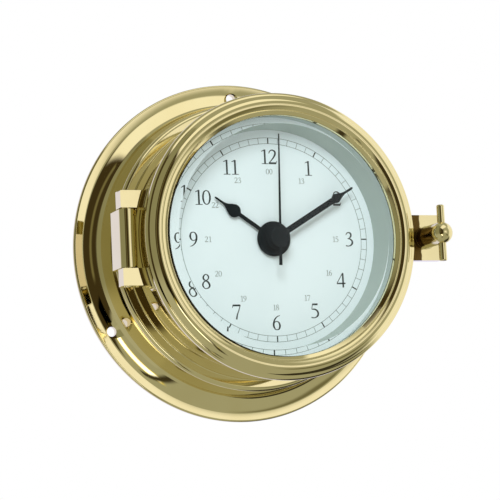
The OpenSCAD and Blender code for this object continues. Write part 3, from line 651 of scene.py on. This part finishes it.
def build_case_latch_lug():
    low, high = mm_box("latch_lug")
    half, bore_r = 7.0, 2.95
    cy, upper = side_fillet(half, DRUM_R, 3, 8)[1:]
    outline = [*arc_points(high.x - half, 0, half, -90, 90, 32), *upper, (DRUM_R - 1, cy - 1.5),
               (DRUM_R - 1, 1.5 - cy), *mirrored_back(upper)]
    lug = straight("case_latch_lug", outline, low.z, high.z)
    soften(lug, 0.3, 40)
    drill(lug, (latch_x, 0), bore_r, low.z - 1, high.z + 1)
    return finish(lug, "brass_plain", "case", "latch_lug")


# ---------------------------------------------------------------- bezel

bezel_h = top("bezel_ring")
BEZEL_R = 62.2
BEZEL_REAR_H = 50.0
OPENING_R = 52.0
LIP_REAR_H = 59.2
BEZEL_BORE_R = 55.0
SEAL_IN, SEAL_OUT, SEAL_T = 56.8, 58.6, 1.2
LUG_RING_R = BEZEL_R - 1.8
LUG_CLEAR_R, LUG_JOIN_R = 60.4, 59.9    # inner faces of the lugs, behind the ring and inside it
EAR_REAR_H, EAR_FRONT_H = 43.4, 51.0
EAR_IN_Y, EAR_OUT_Y = 12.8, 20.2
PIN_H, PIN_R = 47.2, 1.8
LATCH_LUG_REAR_H = 46
LATCH_BORE_R = 2.55
# radius of the hollow across a lug's front, and where it meets the ring
EAR_BLEND, EAR_BLEND_IN = 1.2, BEZEL_R - 1.6
LATCH_BLEND, LATCH_BLEND_IN = 4.2, BEZEL_R - 0.6


def bezel_outline():
    """Section of the bezel's ring: swept side, rounded front band, groove, lip and bore."""
    side = catmull([(BEZEL_R - 1.95, BEZEL_REAR_H + 0.4), (BEZEL_R - 1.7, 51.6), (BEZEL_R - 1, 53.6),
                    (BEZEL_R - 0.3, 56), (BEZEL_R, 57.6), (BEZEL_R - 0.15, 58.8), (BEZEL_R - 0.8, 59.6),
                    (BEZEL_R - 1.6, 60.0)], 5)
    band = arc_points(56.6, 58.6, 4, 26, 103, 22)
    return rounded([
        (BEZEL_BORE_R, BEZEL_REAR_H, 0.2), (BEZEL_R - 2.2, BEZEL_REAR_H, 0.2), *[tuple(p) for p in side],
        (BEZEL_R - 2, 60.35, 0.15), *band,
        (OPENING_R + 2.55, bezel_h - 0.62, 0.2), (OPENING_R + 2.2, bezel_h - 0.72, 0.12),
        (OPENING_R + 1.75, bezel_h - 0.35, 0.4), (OPENING_R + 0.05, bezel_h - 1.75, 0.3),
        (OPENING_R, LIP_REAR_H, 0.1), (BEZEL_BORE_R, LIP_REAR_H)])


def blended_lug(name, end_x, half, fillet, corner, rear_h, blend, blend_in, mirrored=False):
    """Lug of the bezel that leaves its ring in hollow fillets, at its sides and across its front."""
    outline = lug_outline(end_x, half, LUG_RING_R, fillet, corner)
    if mirrored:
        outline = [(-x, y) for x, y in outline]
    top_h = EAR_FRONT_H + blend
    lug = straight(name, outline, rear_h, top_h)
    hollow = [(blend_in, top_h + 1), *arc_points(blend_in + blend, top_h, blend, 180, 270, 14),
              (end_x + half, EAR_FRONT_H), (end_x + half, top_h + 1)]
    combine(lug, turned("blend_cutter", hollow), "DIFFERENCE")
    return lug


def clear_of_drum(piece):
    """Cuts a lug of the bezel back to its ring, so that it passes the drum."""
    join_h = BEZEL_REAR_H + 0.05
    room = [(0, 40), (LUG_CLEAR_R, 40), (LUG_CLEAR_R, PIN_H), (LUG_JOIN_R, PIN_H + 0.3),
            (LUG_JOIN_R, join_h), (0, join_h)]
    combine(piece, turned("drum_cutter", room), "DIFFERENCE")


def build_ears():
    """Hinge ears: blocks round the pin, whose front part runs into the ring."""
    low = mm_box("bezel_ring")[0]
    ears = blended_lug("ears", -low.x, EAR_OUT_Y, fillet=5.0, corner=0.5, rear_h=PIN_H - 0.5,
                       blend=EAR_BLEND, blend_in=EAR_BLEND_IN, mirrored=True)
    block = rounded([(low.x, EAR_REAR_H, 0.8), (-LUG_CLEAR_R, EAR_REAR_H, 0.4), (-LUG_CLEAR_R, PIN_H),
                     (low.x, PIN_H)])
    for side in (-1, 1):
        # a hair short of the front part's end, so that no two faces coincide
        low_y, high_y = side * (EAR_IN_Y - 2), side * (EAR_OUT_Y - 0.004)
        combine(ears, straight("ear_block", block, low_y, high_y, across_y), "UNION")
    gap = [(low.x - 1, -EAR_IN_Y), (0, -EAR_IN_Y), (0, EAR_IN_Y), (low.x - 1, EAR_IN_Y)]
    combine(ears, straight("knuckle_gap", gap, 40, 56), "DIFFERENCE")
    soften(ears, 0.3, 50)
    clear_of_drum(ears)
    return ears


def build_latch_web():
    """Lug of the bezel that the thumb screw holds down."""
    high = mm_box("bezel_ring")[1]
    web = blended_lug("latch_lug_web", high.x, half=10.2, fillet=5.5, corner=0.5,
                      rear_h=LATCH_LUG_REAR_H, blend=LATCH_BLEND, blend_in=LATCH_BLEND_IN)
    soften(web, 0.35, 50)
    clear_of_drum(web)
    return web


def build_bezel():
    bezel = turned("bezel_turning", bezel_outline())
    combine(bezel, build_ears(), "UNION")
    combine(bezel, build_latch_web(), "UNION")
    drill(bezel, (latch_x, 0), LATCH_BORE_R, 45, 52)
    bore_r, reach = PIN_R + 0.05, 22
    bore = [(0, -reach), (bore_r, -reach), (bore_r, reach), (0, reach)]
    pin_x = mm_box("bezel_ring")[0].x + KNUCKLE_R
    combine(bezel, turned_upright("pin_cutter", bore, pin_x, PIN_H), "DIFFERENCE")
    groove_h = BEZEL_REAR_H + SEAL_T
    groove = [(SEAL_IN, 49), (SEAL_OUT, 49), (SEAL_OUT, groove_h), (SEAL_IN, groove_h)]
    combine(bezel, turned("seal_cutter", groove), "DIFFERENCE")
    return finish(bezel, "brass", "bezel", "bezel_ring")


def build_glass():
    rear, front = bottom("bezel_glass"), top("bezel_glass")
    edge_r = outer_r("bezel_glass")
    edge_h, bevel_r = 58.9, 48.3
    outline = [(0, rear), (edge_r, rear, 0.3), (edge_r, edge_h, 0.3), (OPENING_R - 0.1, edge_h, 0.1),
               (bevel_r, front, 0.12), (0, front)]
    pane = finish(turned("bevelled_pane", rounded(outline, False)), "glass", "bezel", "bezel_glass")
    pane.visible_shadow = False
    pane.visible_diffuse = False
    return pane


# ---------------------------------------------------------------- latch

def build_latch():
    axis = (latch_x, 0)
    low, high = mm_box("latch_washer")
    r = (high.x - low.x) / 2
    outline = [(LATCH_BORE_R, low.z, 0.1), (r, low.z, 0.15), (r, high.z, 0.2), (LATCH_BORE_R, high.z, 0.1)]
    washer = turned("latch_washer_turned", rounded(outline), axis, FITTING_STEPS)
    finish(washer, "brass_small", "latch_washer", "latch_washer")

    seat_h = high.z + TOUCH
    low, high = mm_box("thumb_screw")
    r = (high.x - low.x) / 2
    ball_h = high.z - r
    shank_r, lead = 2.5, 0.6
    outline = [(0, low.z), (shank_r - lead, low.z), (shank_r, low.z + lead), (shank_r, seat_h),
               (r, seat_h, 0.35), (r, ball_h - 3.4, 0.3), *arc_points(0, ball_h, r, 0, 88, 20),
               (0, high.z)]
    screw = turned("thumb_screw_turned", rounded(outline, False), axis, FITTING_STEPS)
    low, high = mm_box("tommy_bar")
    bar_r = (high.x - low.x) / 2
    bar_h = (high.z + low.z) / 2
    bore_r, reach = bar_r + 0.06, 8
    bore = [(0, -reach), (bore_r, -reach), (bore_r, reach), (0, reach)]
    combine(screw, turned_upright("bar_cutter", bore, latch_x, bar_h, 48), "DIFFERENCE")
    finish(screw, "brass_small", "latch_screw", "thumb_screw")

    outline = [(0, low.y), (bar_r, low.y, 0.7), (bar_r, high.y, 0.7), (0, high.y)]
    bar = turned_upright("tommy_bar_turned", rounded(outline, False), latch_x, bar_h)
    finish(bar, "brass_plain", "latch_screw", "tommy_bar")


# ---------------------------------------------------------------- dial and its print

def build_dial_ring():
    foot_r = outer_r("dial_ring")
    top_h = top("dial_ring")
    inner_r, foot_h = 48.3, dial_face_h + 0.8
    outline = [(inner_r, dial_face_h), (foot_r, dial_face_h), (foot_r, foot_h, 0.2),
               (49.4, foot_h, 0.3), (52.4, top_h, 0.25), (51.8, top_h, 0.25),
               (inner_r, dial_face_h + 0.3, 0.2)]
    ring = turned("dial_ring_spun", rounded(outline))
    for turn in DIAL_SCREW_TURNS:
        drill(ring, at_angle(DIAL_SCREW_R, turn), 0.9, dial_face_h - 1, dial_face_h + 2, 24)
    return finish(ring, "dial_ring", "case", "dial_ring")


PRINT_T = 0.03
TRACK_IN, TRACK_OUT = 42.2, 44.8
CIRCLE_W, TICK_W, BAR_W = 0.2, 0.2, 0.55
HOUR_FIGURES_R, HOUR_FIGURES_H = 36.4, 6.4
DAY_FIGURES_R, DAY_FIGURES_H = 29.8, 2.4
FIGURE_STRETCH = 1.3
HOUR_WEIGHT, DAY_WEIGHT = 0.02, 0.03      # extra width of a stroke, as a share of the height

# each figure in a box one unit high: its width, and its strokes as lists of (x, y, width) points
# that a curve follows
FIGURES = {
    "1": (0.46, [
        [(0.28, 0.0, 0.105), (0.28, 1.0, 0.105)],
        [(0.29, 0.985, 0.035), (0.19, 0.92, 0.045), (0.09, 0.87, 0.02)],
        [(0.09, 0.014, 0.028), (0.47, 0.014, 0.028)],
    ]),
    "2": (0.52, [
        [(0.05, 0.73, 0.03), (0.12, 0.9, 0.055), (0.25, 0.965, 0.06), (0.39, 0.86, 0.1),
         (0.4, 0.68, 0.11), (0.31, 0.46, 0.08), (0.17, 0.24, 0.05), (0.05, 0.09, 0.03)],
        [(0.03, 0.055, 0.11), (0.44, 0.055, 0.11)],
        [(0.43, 0.03, 0.03), (0.49, 0.21, 0.02)],
    ]),
    "3": (0.50, [
        [(0.07, 0.79, 0.02), (0.13, 0.91, 0.05), (0.23, 0.97, 0.05), (0.35, 0.9, 0.09),
         (0.36, 0.73, 0.1), (0.28, 0.59, 0.05), (0.17, 0.53, 0.03)],
        [(0.17, 0.545, 0.03), (0.32, 0.5, 0.06), (0.42, 0.37, 0.1), (0.42, 0.2, 0.11),
         (0.31, 0.06, 0.06), (0.17, 0.025, 0.045), (0.05, 0.06, 0.07)],
    ]),
    "4": (0.52, [
        [(0.355, 1.0, 0.03), (0.02, 0.31, 0.035)],
        [(0.0, 0.28, 0.075), (0.5, 0.28, 0.075)],
        [(0.365, 0.0, 0.1), (0.365, 1.0, 0.1)],
    ]),
    "5": (0.50, [
        [(0.13, 0.945, 0.105), (0.42, 0.945, 0.105)],
        [(0.13, 0.99, 0.03), (0.08, 0.62, 0.03)],
        [(0.07, 0.61, 0.03), (0.22, 0.61, 0.07), (0.36, 0.53, 0.09), (0.43, 0.35, 0.11),
         (0.4, 0.17, 0.1), (0.28, 0.05, 0.05), (0.15, 0.025, 0.045), (0.04, 0.06, 0.06)],
    ]),
    "6": (0.50, [
        [(0.44, 0.985, 0.02), (0.27, 0.89, 0.045), (0.14, 0.7, 0.08), (0.08, 0.46, 0.105),
         (0.08, 0.25, 0.105), (0.15, 0.07, 0.06), (0.25, 0.02, 0.035), (0.37, 0.08, 0.07),
         (0.42, 0.28, 0.11), (0.38, 0.48, 0.08), (0.28, 0.58, 0.04), (0.18, 0.56, 0.035),
         (0.09, 0.47, 0.03)],
    ]),
    "7": (0.50, [
        [(0.04, 0.945, 0.1), (0.44, 0.945, 0.1)],
        [(0.05, 0.98, 0.03), (0.02, 0.78, 0.02)],
        [(0.455, 0.97, 0.03), (0.36, 0.6, 0.045), (0.27, 0.3, 0.07), (0.22, 0.0, 0.09)],
    ]),
    "8": (0.50, [
        [(0.24, 0.545, 0.045), (0.11, 0.66, 0.09), (0.11, 0.84, 0.085), (0.24, 0.98, 0.035),
         (0.37, 0.86, 0.075), (0.36, 0.67, 0.06), (0.24, 0.545, 0.045)],
        [(0.24, 0.55, 0.045), (0.1, 0.43, 0.07), (0.055, 0.24, 0.085), (0.13, 0.07, 0.05),
         (0.24, 0.02, 0.035), (0.37, 0.08, 0.07), (0.43, 0.24, 0.1), (0.36, 0.43, 0.1),
         (0.24, 0.55, 0.06)],
    ]),
    "0": (0.50, [
        [(0.24, 0.98, 0.035), (0.12, 0.88, 0.07), (0.06, 0.66, 0.1), (0.05, 0.5, 0.105),
         (0.06, 0.34, 0.1), (0.12, 0.12, 0.07), (0.24, 0.02, 0.035), (0.36, 0.12, 0.07),
         (0.42, 0.34, 0.1), (0.43, 0.5, 0.105), (0.42, 0.66, 0.1), (0.36, 0.88, 0.07),
         (0.24, 0.98, 0.035)],
    ]),
}
# the 9 is the 6 turned half round
FIGURES["9"] = (0.50, [[(0.49 - x, 1 - y, w) for x, y, w in FIGURES["6"][1][0]]])


def ribbon(bm, points, low, high):
    """Closed flat stroke along (x, y, width) points."""
    curve = catmull(points, 6) if len(points) > 2 else [Vector(p) for p in points]
    left, right = [], []
    for i, p in enumerate(curve):
        ahead, behind = curve[min(i + 1, len(curve) - 1)], curve[max(i - 1, 0)]
        run = (ahead.xy - behind.xy).normalized()
        side = Vector((-run.y, run.x)) * p.z / 2
        left.append(p.xy + side)
        right.append(p.xy - side)
    rows = [[bm.verts.new((p.x, p.y, h)) for p in line] for line in (left, right) for h in (low, high)]
    left_low, left_high, right_low, right_high = rows
    for i in range(len(curve) - 1):
        bm.faces.new((left_high[i], left_high[i + 1], right_high[i + 1], right_high[i]))
        bm.faces.new((left_low[i], right_low[i], right_low[i + 1], left_low[i + 1]))
        bm.faces.new((left_low[i], left_low[i + 1], left_high[i + 1], left_high[i]))
        bm.faces.new((right_low[i], right_high[i], right_high[i + 1], right_low[i + 1]))
    for i in (0, -1):
        bm.faces.new((left_low[i], left_high[i], right_high[i], right_low[i]))


def figures(bm, text, x, y, height, weight, low, high):
    """A number, upright and centred on a point."""
    wide = FIGURE_STRETCH * height
    pen = x - sum(FIGURES[c][0] for c in text) * wide / 2
    for c in text:
        width, strokes = FIGURES[c]
        for stroke in strokes:
            ribbon(bm, [(pen + px * wide, y + (py - 0.5) * height, (pw + weight) * height)
                        for px, py, pw in stroke], low, high)
        pen += width * wide


def outward(degrees):
    """Unit vector at an angle round the dial."""
    turn = math.radians(degrees)
    return Vector((math.cos(turn), math.sin(turn)))


def build_print():
    low, high = dial_face_h, dial_face_h + PRINT_T
    hours, day, track, bars = bmesh.new(), bmesh.new(), bmesh.new(), bmesh.new()
    for hour in range(1, 13):
        at = outward(90 - 30 * hour)
        figures(hours, str(hour), *(at * HOUR_FIGURES_R), HOUR_FIGURES_H, HOUR_WEIGHT, low, high)
        figures(day, f"{(hour + 12) % 24:02d}", *(at * DAY_FIGURES_R), DAY_FIGURES_H, DAY_WEIGHT,
                low, high)
    for edge in (TRACK_IN, TRACK_OUT):
        inner, outer = edge - CIRCLE_W / 2, edge + CIRCLE_W / 2
        lathe(track, [(inner, low), (outer, low), (outer, high), (inner, high)])
    for minute in range(60):
        at = outward(90 - 6 * minute)
        bm, width = (bars, BAR_W) if minute % 5 == 0 else (track, TICK_W)
        ribbon(bm, [(*(at * TRACK_IN), width), (*(at * TRACK_OUT), width)], low, high)
    for name, bm, key in (("hour_figures", hours, "print"), ("day_figures", day, "print_grey"),
                          ("minute_track", track, "print_track"), ("five_minute_bars", bars, "print")):
        finish(new_object(name, bm), key, "case")


# ---------------------------------------------------------------- hands

HOUR_TURN, MINUTE_TURN, SECOND_TURN = 304.5, 59.0, 2.0    # degrees clockwise from 12
HOUR_HAND_H, MINUTE_HAND_H, SECONDS_HAND_H = 45.2, 48.3, 52.8
HAND_T, SECONDS_HAND_T = 0.5, 0.4


def blade(length, bulb_at, bulb_r, stem_w, neck_w, tip_w):
    """Half outline of a hand that points up, from its hub to its tip."""
    shoulder = bulb_at + bulb_r * 0.75
    steps = 14
    half = [(stem_w / 2, 0), (stem_w / 2, bulb_at - bulb_r), *arc_points(0, bulb_at, bulb_r, -62, 38, 14)]
    for i in range(1, steps + 1):
        t = i / steps
        half.append((neck_w / 2 + (bulb_r * 0.79 - neck_w / 2) * (1 - t) ** 2.2,
                     shoulder + (length - shoulder) * 0.55 * t))
    return half + [(tip_w / 2, length - 0.4), (tip_w / 4, length)]


def build_hand(name, half, low, thick, turn, hub, body, edge=0.1):
    """Hand of a flat blade, given by half its outline, and a turned hub."""
    outline = half + [(-x, y) for x, y in half[::-1]]
    lean = Matrix.Rotation(-math.radians(turn), 2)
    hand = straight(name, [lean @ Vector(p) for p in outline], low, low + thick)
    soften(hand, edge, 40, 2)
    combine(hand, turned("hub", rounded(hub), steps=FITTING_STEPS), "UNION")
    finish(hand, "hand", body, f"{body}_hand")


def build_hands():
    low = HOUR_HAND_H
    high = low + HAND_T
    build_hand("hour_hand_blade", blade(32, 21.5, 2.9, 1.7, 0.9, 0.8), low, HAND_T, HOUR_TURN,
               [(2.3, low), (7.7, low, 0.1), (7.7, high, 0.15), (6.5, high, 0.1),
                (6.4, high + 0.12, 0.05), (2.3, high + 0.12)], "hour")
    low = MINUTE_HAND_H
    high = low + HAND_T
    build_hand("minute_hand_blade", blade(43.5, 34, 2.1, 2.7, 1.0, 0.9), low, HAND_T, MINUTE_TURN,
               [(1.4, low - 1.8), (2.4, low - 1.8, 0.2), (2.4, low), (5, low, 0.1),
                (5, high, 0.15), (1.4, high)], "minute")
    low = SECONDS_HAND_H
    high = low + 0.7
    build_hand("seconds_hand_blade", [(0.7, -12.4), (0.55, 0), (0.25, 45.0)], low, SECONDS_HAND_T,
               SECOND_TURN, [(0.5, low - 2.2), (1.2, low - 2.2, 0.2), (1.2, low), (4.5, low, 0.1),
                             (4.5, high, 0.3), (0.5, high, 0.05)], "seconds", 0.05)


build_case()
build_hinge_lug()
build_hinge_pin()
build_case_latch_lug()
build_bezel()
build_glass()
build_latch()
build_dial_ring()
build_print()
build_hands()


# ---------------------------------------------------------------- floor, light and camera

FLOOR_HEIGHT, FLOOR_SIZE = -0.62, 6.0     # metres


def build_floor():
    mat, tree, shader = new_material("pale_floor")
    patches = noise(tree, object_vector(tree), 6.0)
    tree.links.new(blend_colours(tree, patches, (0.80, 0.80, 0.79), (0.84, 0.84, 0.83)),
                   shader.inputs["Base Color"])
    shader.inputs["Roughness"].default_value = 0.7
    bm = bmesh.new()
    bmesh.ops.create_grid(bm, x_segments=8, y_segments=8, size=FLOOR_SIZE)
    mesh = bpy.data.meshes.new("floor")
    bm.to_mesh(mesh)
    bm.free()
    mesh.materials.append(mat)
    floor = bpy.data.objects.new("floor", mesh)
    floor.location.z = FLOOR_HEIGHT
    bpy.context.scene.collection.objects.link(floor)
    floor.visible_glossy = False


# studio surround: panels of light and shade around the clock. Each faces the clock from a
# direction and covers a span across and a span up, as slopes from that direction. A later
# panel covers an earlier one.
SURROUND = (0.40, 0.40, 0.31)
FRONT, BACK, ABOVE, BELOW = (0, -1, 0), (0, 1, 0), (0, 0, 1), (0, 0, -1)


def bearing(azimuth, elevation=0.0):
    """Direction at an azimuth from the front, positive to the right, and an elevation."""
    a, e = math.radians(azimuth), math.radians(elevation)
    return (math.sin(a) * math.cos(e), -math.cos(a) * math.cos(e), math.sin(e))


OVERHEAD, OVERHEAD_UP = bearing(5, 50), (-0.33, 0, 0.94)
STRIP, STRIP_UP = bearing(-21, -31), (0.58, -0.59, 0.57)

# facing, up, span across, span upwards, softness of the edges, colour
PANELS = [
    # shaded room and its lit floor, left
    (bearing(-90), ABOVE, (-1.0, 0.9), (-0.3, 3.0), 0.2, (0.28, 0.28, 0.19)),
    (bearing(-90), ABOVE, (-1.0, 0.9), (-2.0, -0.35), 0.2, (0.45, 0.45, 0.36)),
    # white sweep behind
    (BACK, ABOVE, (-1.0, 1.0), (-1.2, 0.9), 0.3, (0.85, 0.84, 1.15)),
    # large card at the right, and the dark floor below it
    (bearing(100), ABOVE, (-0.8, 0.95), (-0.55, 1.1), 0.1, (1.0, 0.98, 0.92)),
    (bearing(115), ABOVE, (-0.8, 0.8), (-3.0, -0.75), 0.15, (0.04, 0.035, 0.02)),
    # dark room round the camera, a stand beside it, and its lens
    (bearing(-35), ABOVE, (-0.50, 0.275), (-0.36, 1.9), 0.04, (0.05, 0.036, 0.014)),
    (bearing(-37), ABOVE, (-0.05, 0.04), (-0.05, 0.9), 0.04, (0.20, 0.18, 0.09)),
    (bearing(-31, -16), ABOVE, (-0.13, 0.10), (-0.10, 0.12), 0.02, (0.0, 0.0, 0.0)),
    # overhead soft box and its dark frame
    (OVERHEAD, OVERHEAD_UP, (-0.53, 0.42), (-0.147, 0.42), 0.05, (1.08, 1.06, 1.0)),
    (OVERHEAD, OVERHEAD_UP, (0.1, 0.42), (-0.24, -0.16), 0.03, (0.12, 0.10, 0.05)),
    # card at the front right, and a gap in it
    (bearing(22, 5), ABOVE, (-0.12, 0.36), (-0.16, 0.16), 0.06, (1.05, 1.02, 0.98)),
    (bearing(21, 6), ABOVE, (-0.02, 0.035), (-0.04, 0.07), 0.02, (0.20, 0.20, 0.17)),
    # strip lamp low in front: its yellow glow, then the lamp
    (STRIP, STRIP_UP, (-0.21, 0.25), (-0.11, 0.09), 0.03, (1.0, 0.8, 0.12)),
    (STRIP, STRIP_UP, (-0.19, 0.22), (-0.085, 0.065), 0.02, (2.2, 2.2, 2.3)),
    # dark edge of the table, and a dark stand in front
    (BELOW, FRONT, (0.22, 0.34), (0.5, 2.2), 0.04, (0.05, 0.04, 0.02)),
    (bearing(38, -24), ABOVE, (-0.25, 0.25), (-0.12, 0.12), 0.08, (0.18, 0.17, 0.10)),
]


def panel_cover(tree, toward, facing, up, across, upwards, soft):
    """How far a direction falls on a panel, from 0 to 1."""
    facing = Vector(facing).normalized()
    side = facing.cross(Vector(up)).normalized()
    up = side.cross(facing)
    depth, along, high = (node(tree, "ShaderNodeVectorMath", operation="DOT_PRODUCT", i0=toward,
                               i1=axis).outputs["Value"] for axis in (facing, side, up))
    ahead = maths(tree, "MAXIMUM", depth, 0.01)
    cover = remap(tree, depth, 0.01, 0.05, 0.0, 1.0)
    for value, (start, end) in ((along, across), (high, upwards)):
        slope = maths(tree, "DIVIDE", value, ahead)
        for edge, before, after in ((start, 0.0, 1.0), (end, 1.0, 0.0)):
            fade = remap(tree, slope, edge - soft, edge + soft, before, after, True)
            cover = maths(tree, "MULTIPLY", cover, fade)
    return cover


def build_world():
    """Panels that the brass mirrors, in front of the plain white that the camera sees."""
    world = bpy.data.worlds.new("studio")
    world.use_nodes = True
    tree = world.node_tree
    tree.nodes.clear()
    toward = node(tree, "ShaderNodeTexCoord").outputs["Generated"]
    colour = node(tree, "ShaderNodeRGB").outputs[0]
    colour.default_value = (*SURROUND, 1)
    for facing, up, across, upwards, soft, shade in PANELS:
        cover = panel_cover(tree, toward, facing, up, across, upwards, soft)
        colour = blend_colours(tree, cover, colour, shade)
    light = node(tree, "ShaderNodeBackground", Color=colour, Strength=1.0)
    plain = node(tree, "ShaderNodeBackground", Color=(1, 1, 1, 1), Strength=1.0)
    seen = node(tree, "ShaderNodeLightPath").outputs["Is Camera Ray"]
    mix = node(tree, "ShaderNodeMixShader", i0=seen, i1=light.outputs[0], i2=plain.outputs[0])
    node(tree, "ShaderNodeOutputWorld", Surface=mix.outputs[0])
    bpy.context.scene.world = world


def soft_light(name, at, size, energy, colour):
    """Large lamp that lights paint and plastic but isn't mirrored in the brass."""
    data = bpy.data.lights.new(name, "AREA")
    data.shape = "DISK"
    data.size = size
    data.energy = energy
    data.color = colour
    lamp = bpy.data.objects.new(name, data)
    lamp.location = at
    lamp.rotation_euler = Vector(at).to_track_quat("Z", "Y").to_euler()
    lamp.visible_glossy = False
    lamp.visible_transmission = False
    bpy.context.scene.collection.objects.link(lamp)


CAMERA_TURN = (-21.64, -7.01, -2.82)      # azimuth, elevation and roll, in degrees
CAMERA_DISTANCE, CAMERA_TARGET_H = 812.4, 30    # to a point on the clock's axis, in millimetres
CAMERA_SHIFT = (4.133, 2.632)             # how far left of and below that point the camera looks
CAMERA_LENS, CAMERA_SENSOR = 132.03, 36


def build_camera():
    azimuth, roll = math.radians(CAMERA_TURN[0]), math.radians(CAMERA_TURN[2])
    distance, target = CAMERA_DISTANCE * MM, Vector((0, -CAMERA_TARGET_H, 0)) * MM
    back = Vector(bearing(*CAMERA_TURN[:2]))
    right = Vector((math.cos(azimuth), math.sin(azimuth), 0))
    up = back.cross(right)
    turned_right = math.cos(roll) * right + math.sin(roll) * up
    turned_up = math.cos(roll) * up - math.sin(roll) * right
    stand = target + back * distance
    aim = target - (CAMERA_SHIFT[0] * turned_right + CAMERA_SHIFT[1] * turned_up) * MM
    back = (stand - aim).normalized()
    turned_right = turned_up.cross(back).normalized()
    turned_up = back.cross(turned_right)
    data = bpy.data.cameras.new("camera")
    data.lens = CAMERA_LENS
    data.sensor_width = CAMERA_SENSOR
    camera = bpy.data.objects.new("camera", data)
    camera.matrix_world = Matrix((
        (turned_right.x, turned_up.x, back.x, stand.x), (turned_right.y, turned_up.y, back.y, stand.y),
        (turned_right.z, turned_up.z, back.z, stand.z), (0, 0, 0, 1)))
    bpy.context.scene.collection.objects.link(camera)
    bpy.context.scene.camera = camera


build_floor()
build_world()
soft_light("front_light", at=(-0.5, -1.3, 0.7), size=0.7, energy=14.5, colour=(0.95, 1.0, 1.0))
soft_light("back_light", at=(0.6, 1.2, 0.8), size=0.9, energy=30, colour=(1.0, 0.98, 0.95))
build_camera()
bpy.context.scene.view_settings.view_transform = "Standard"
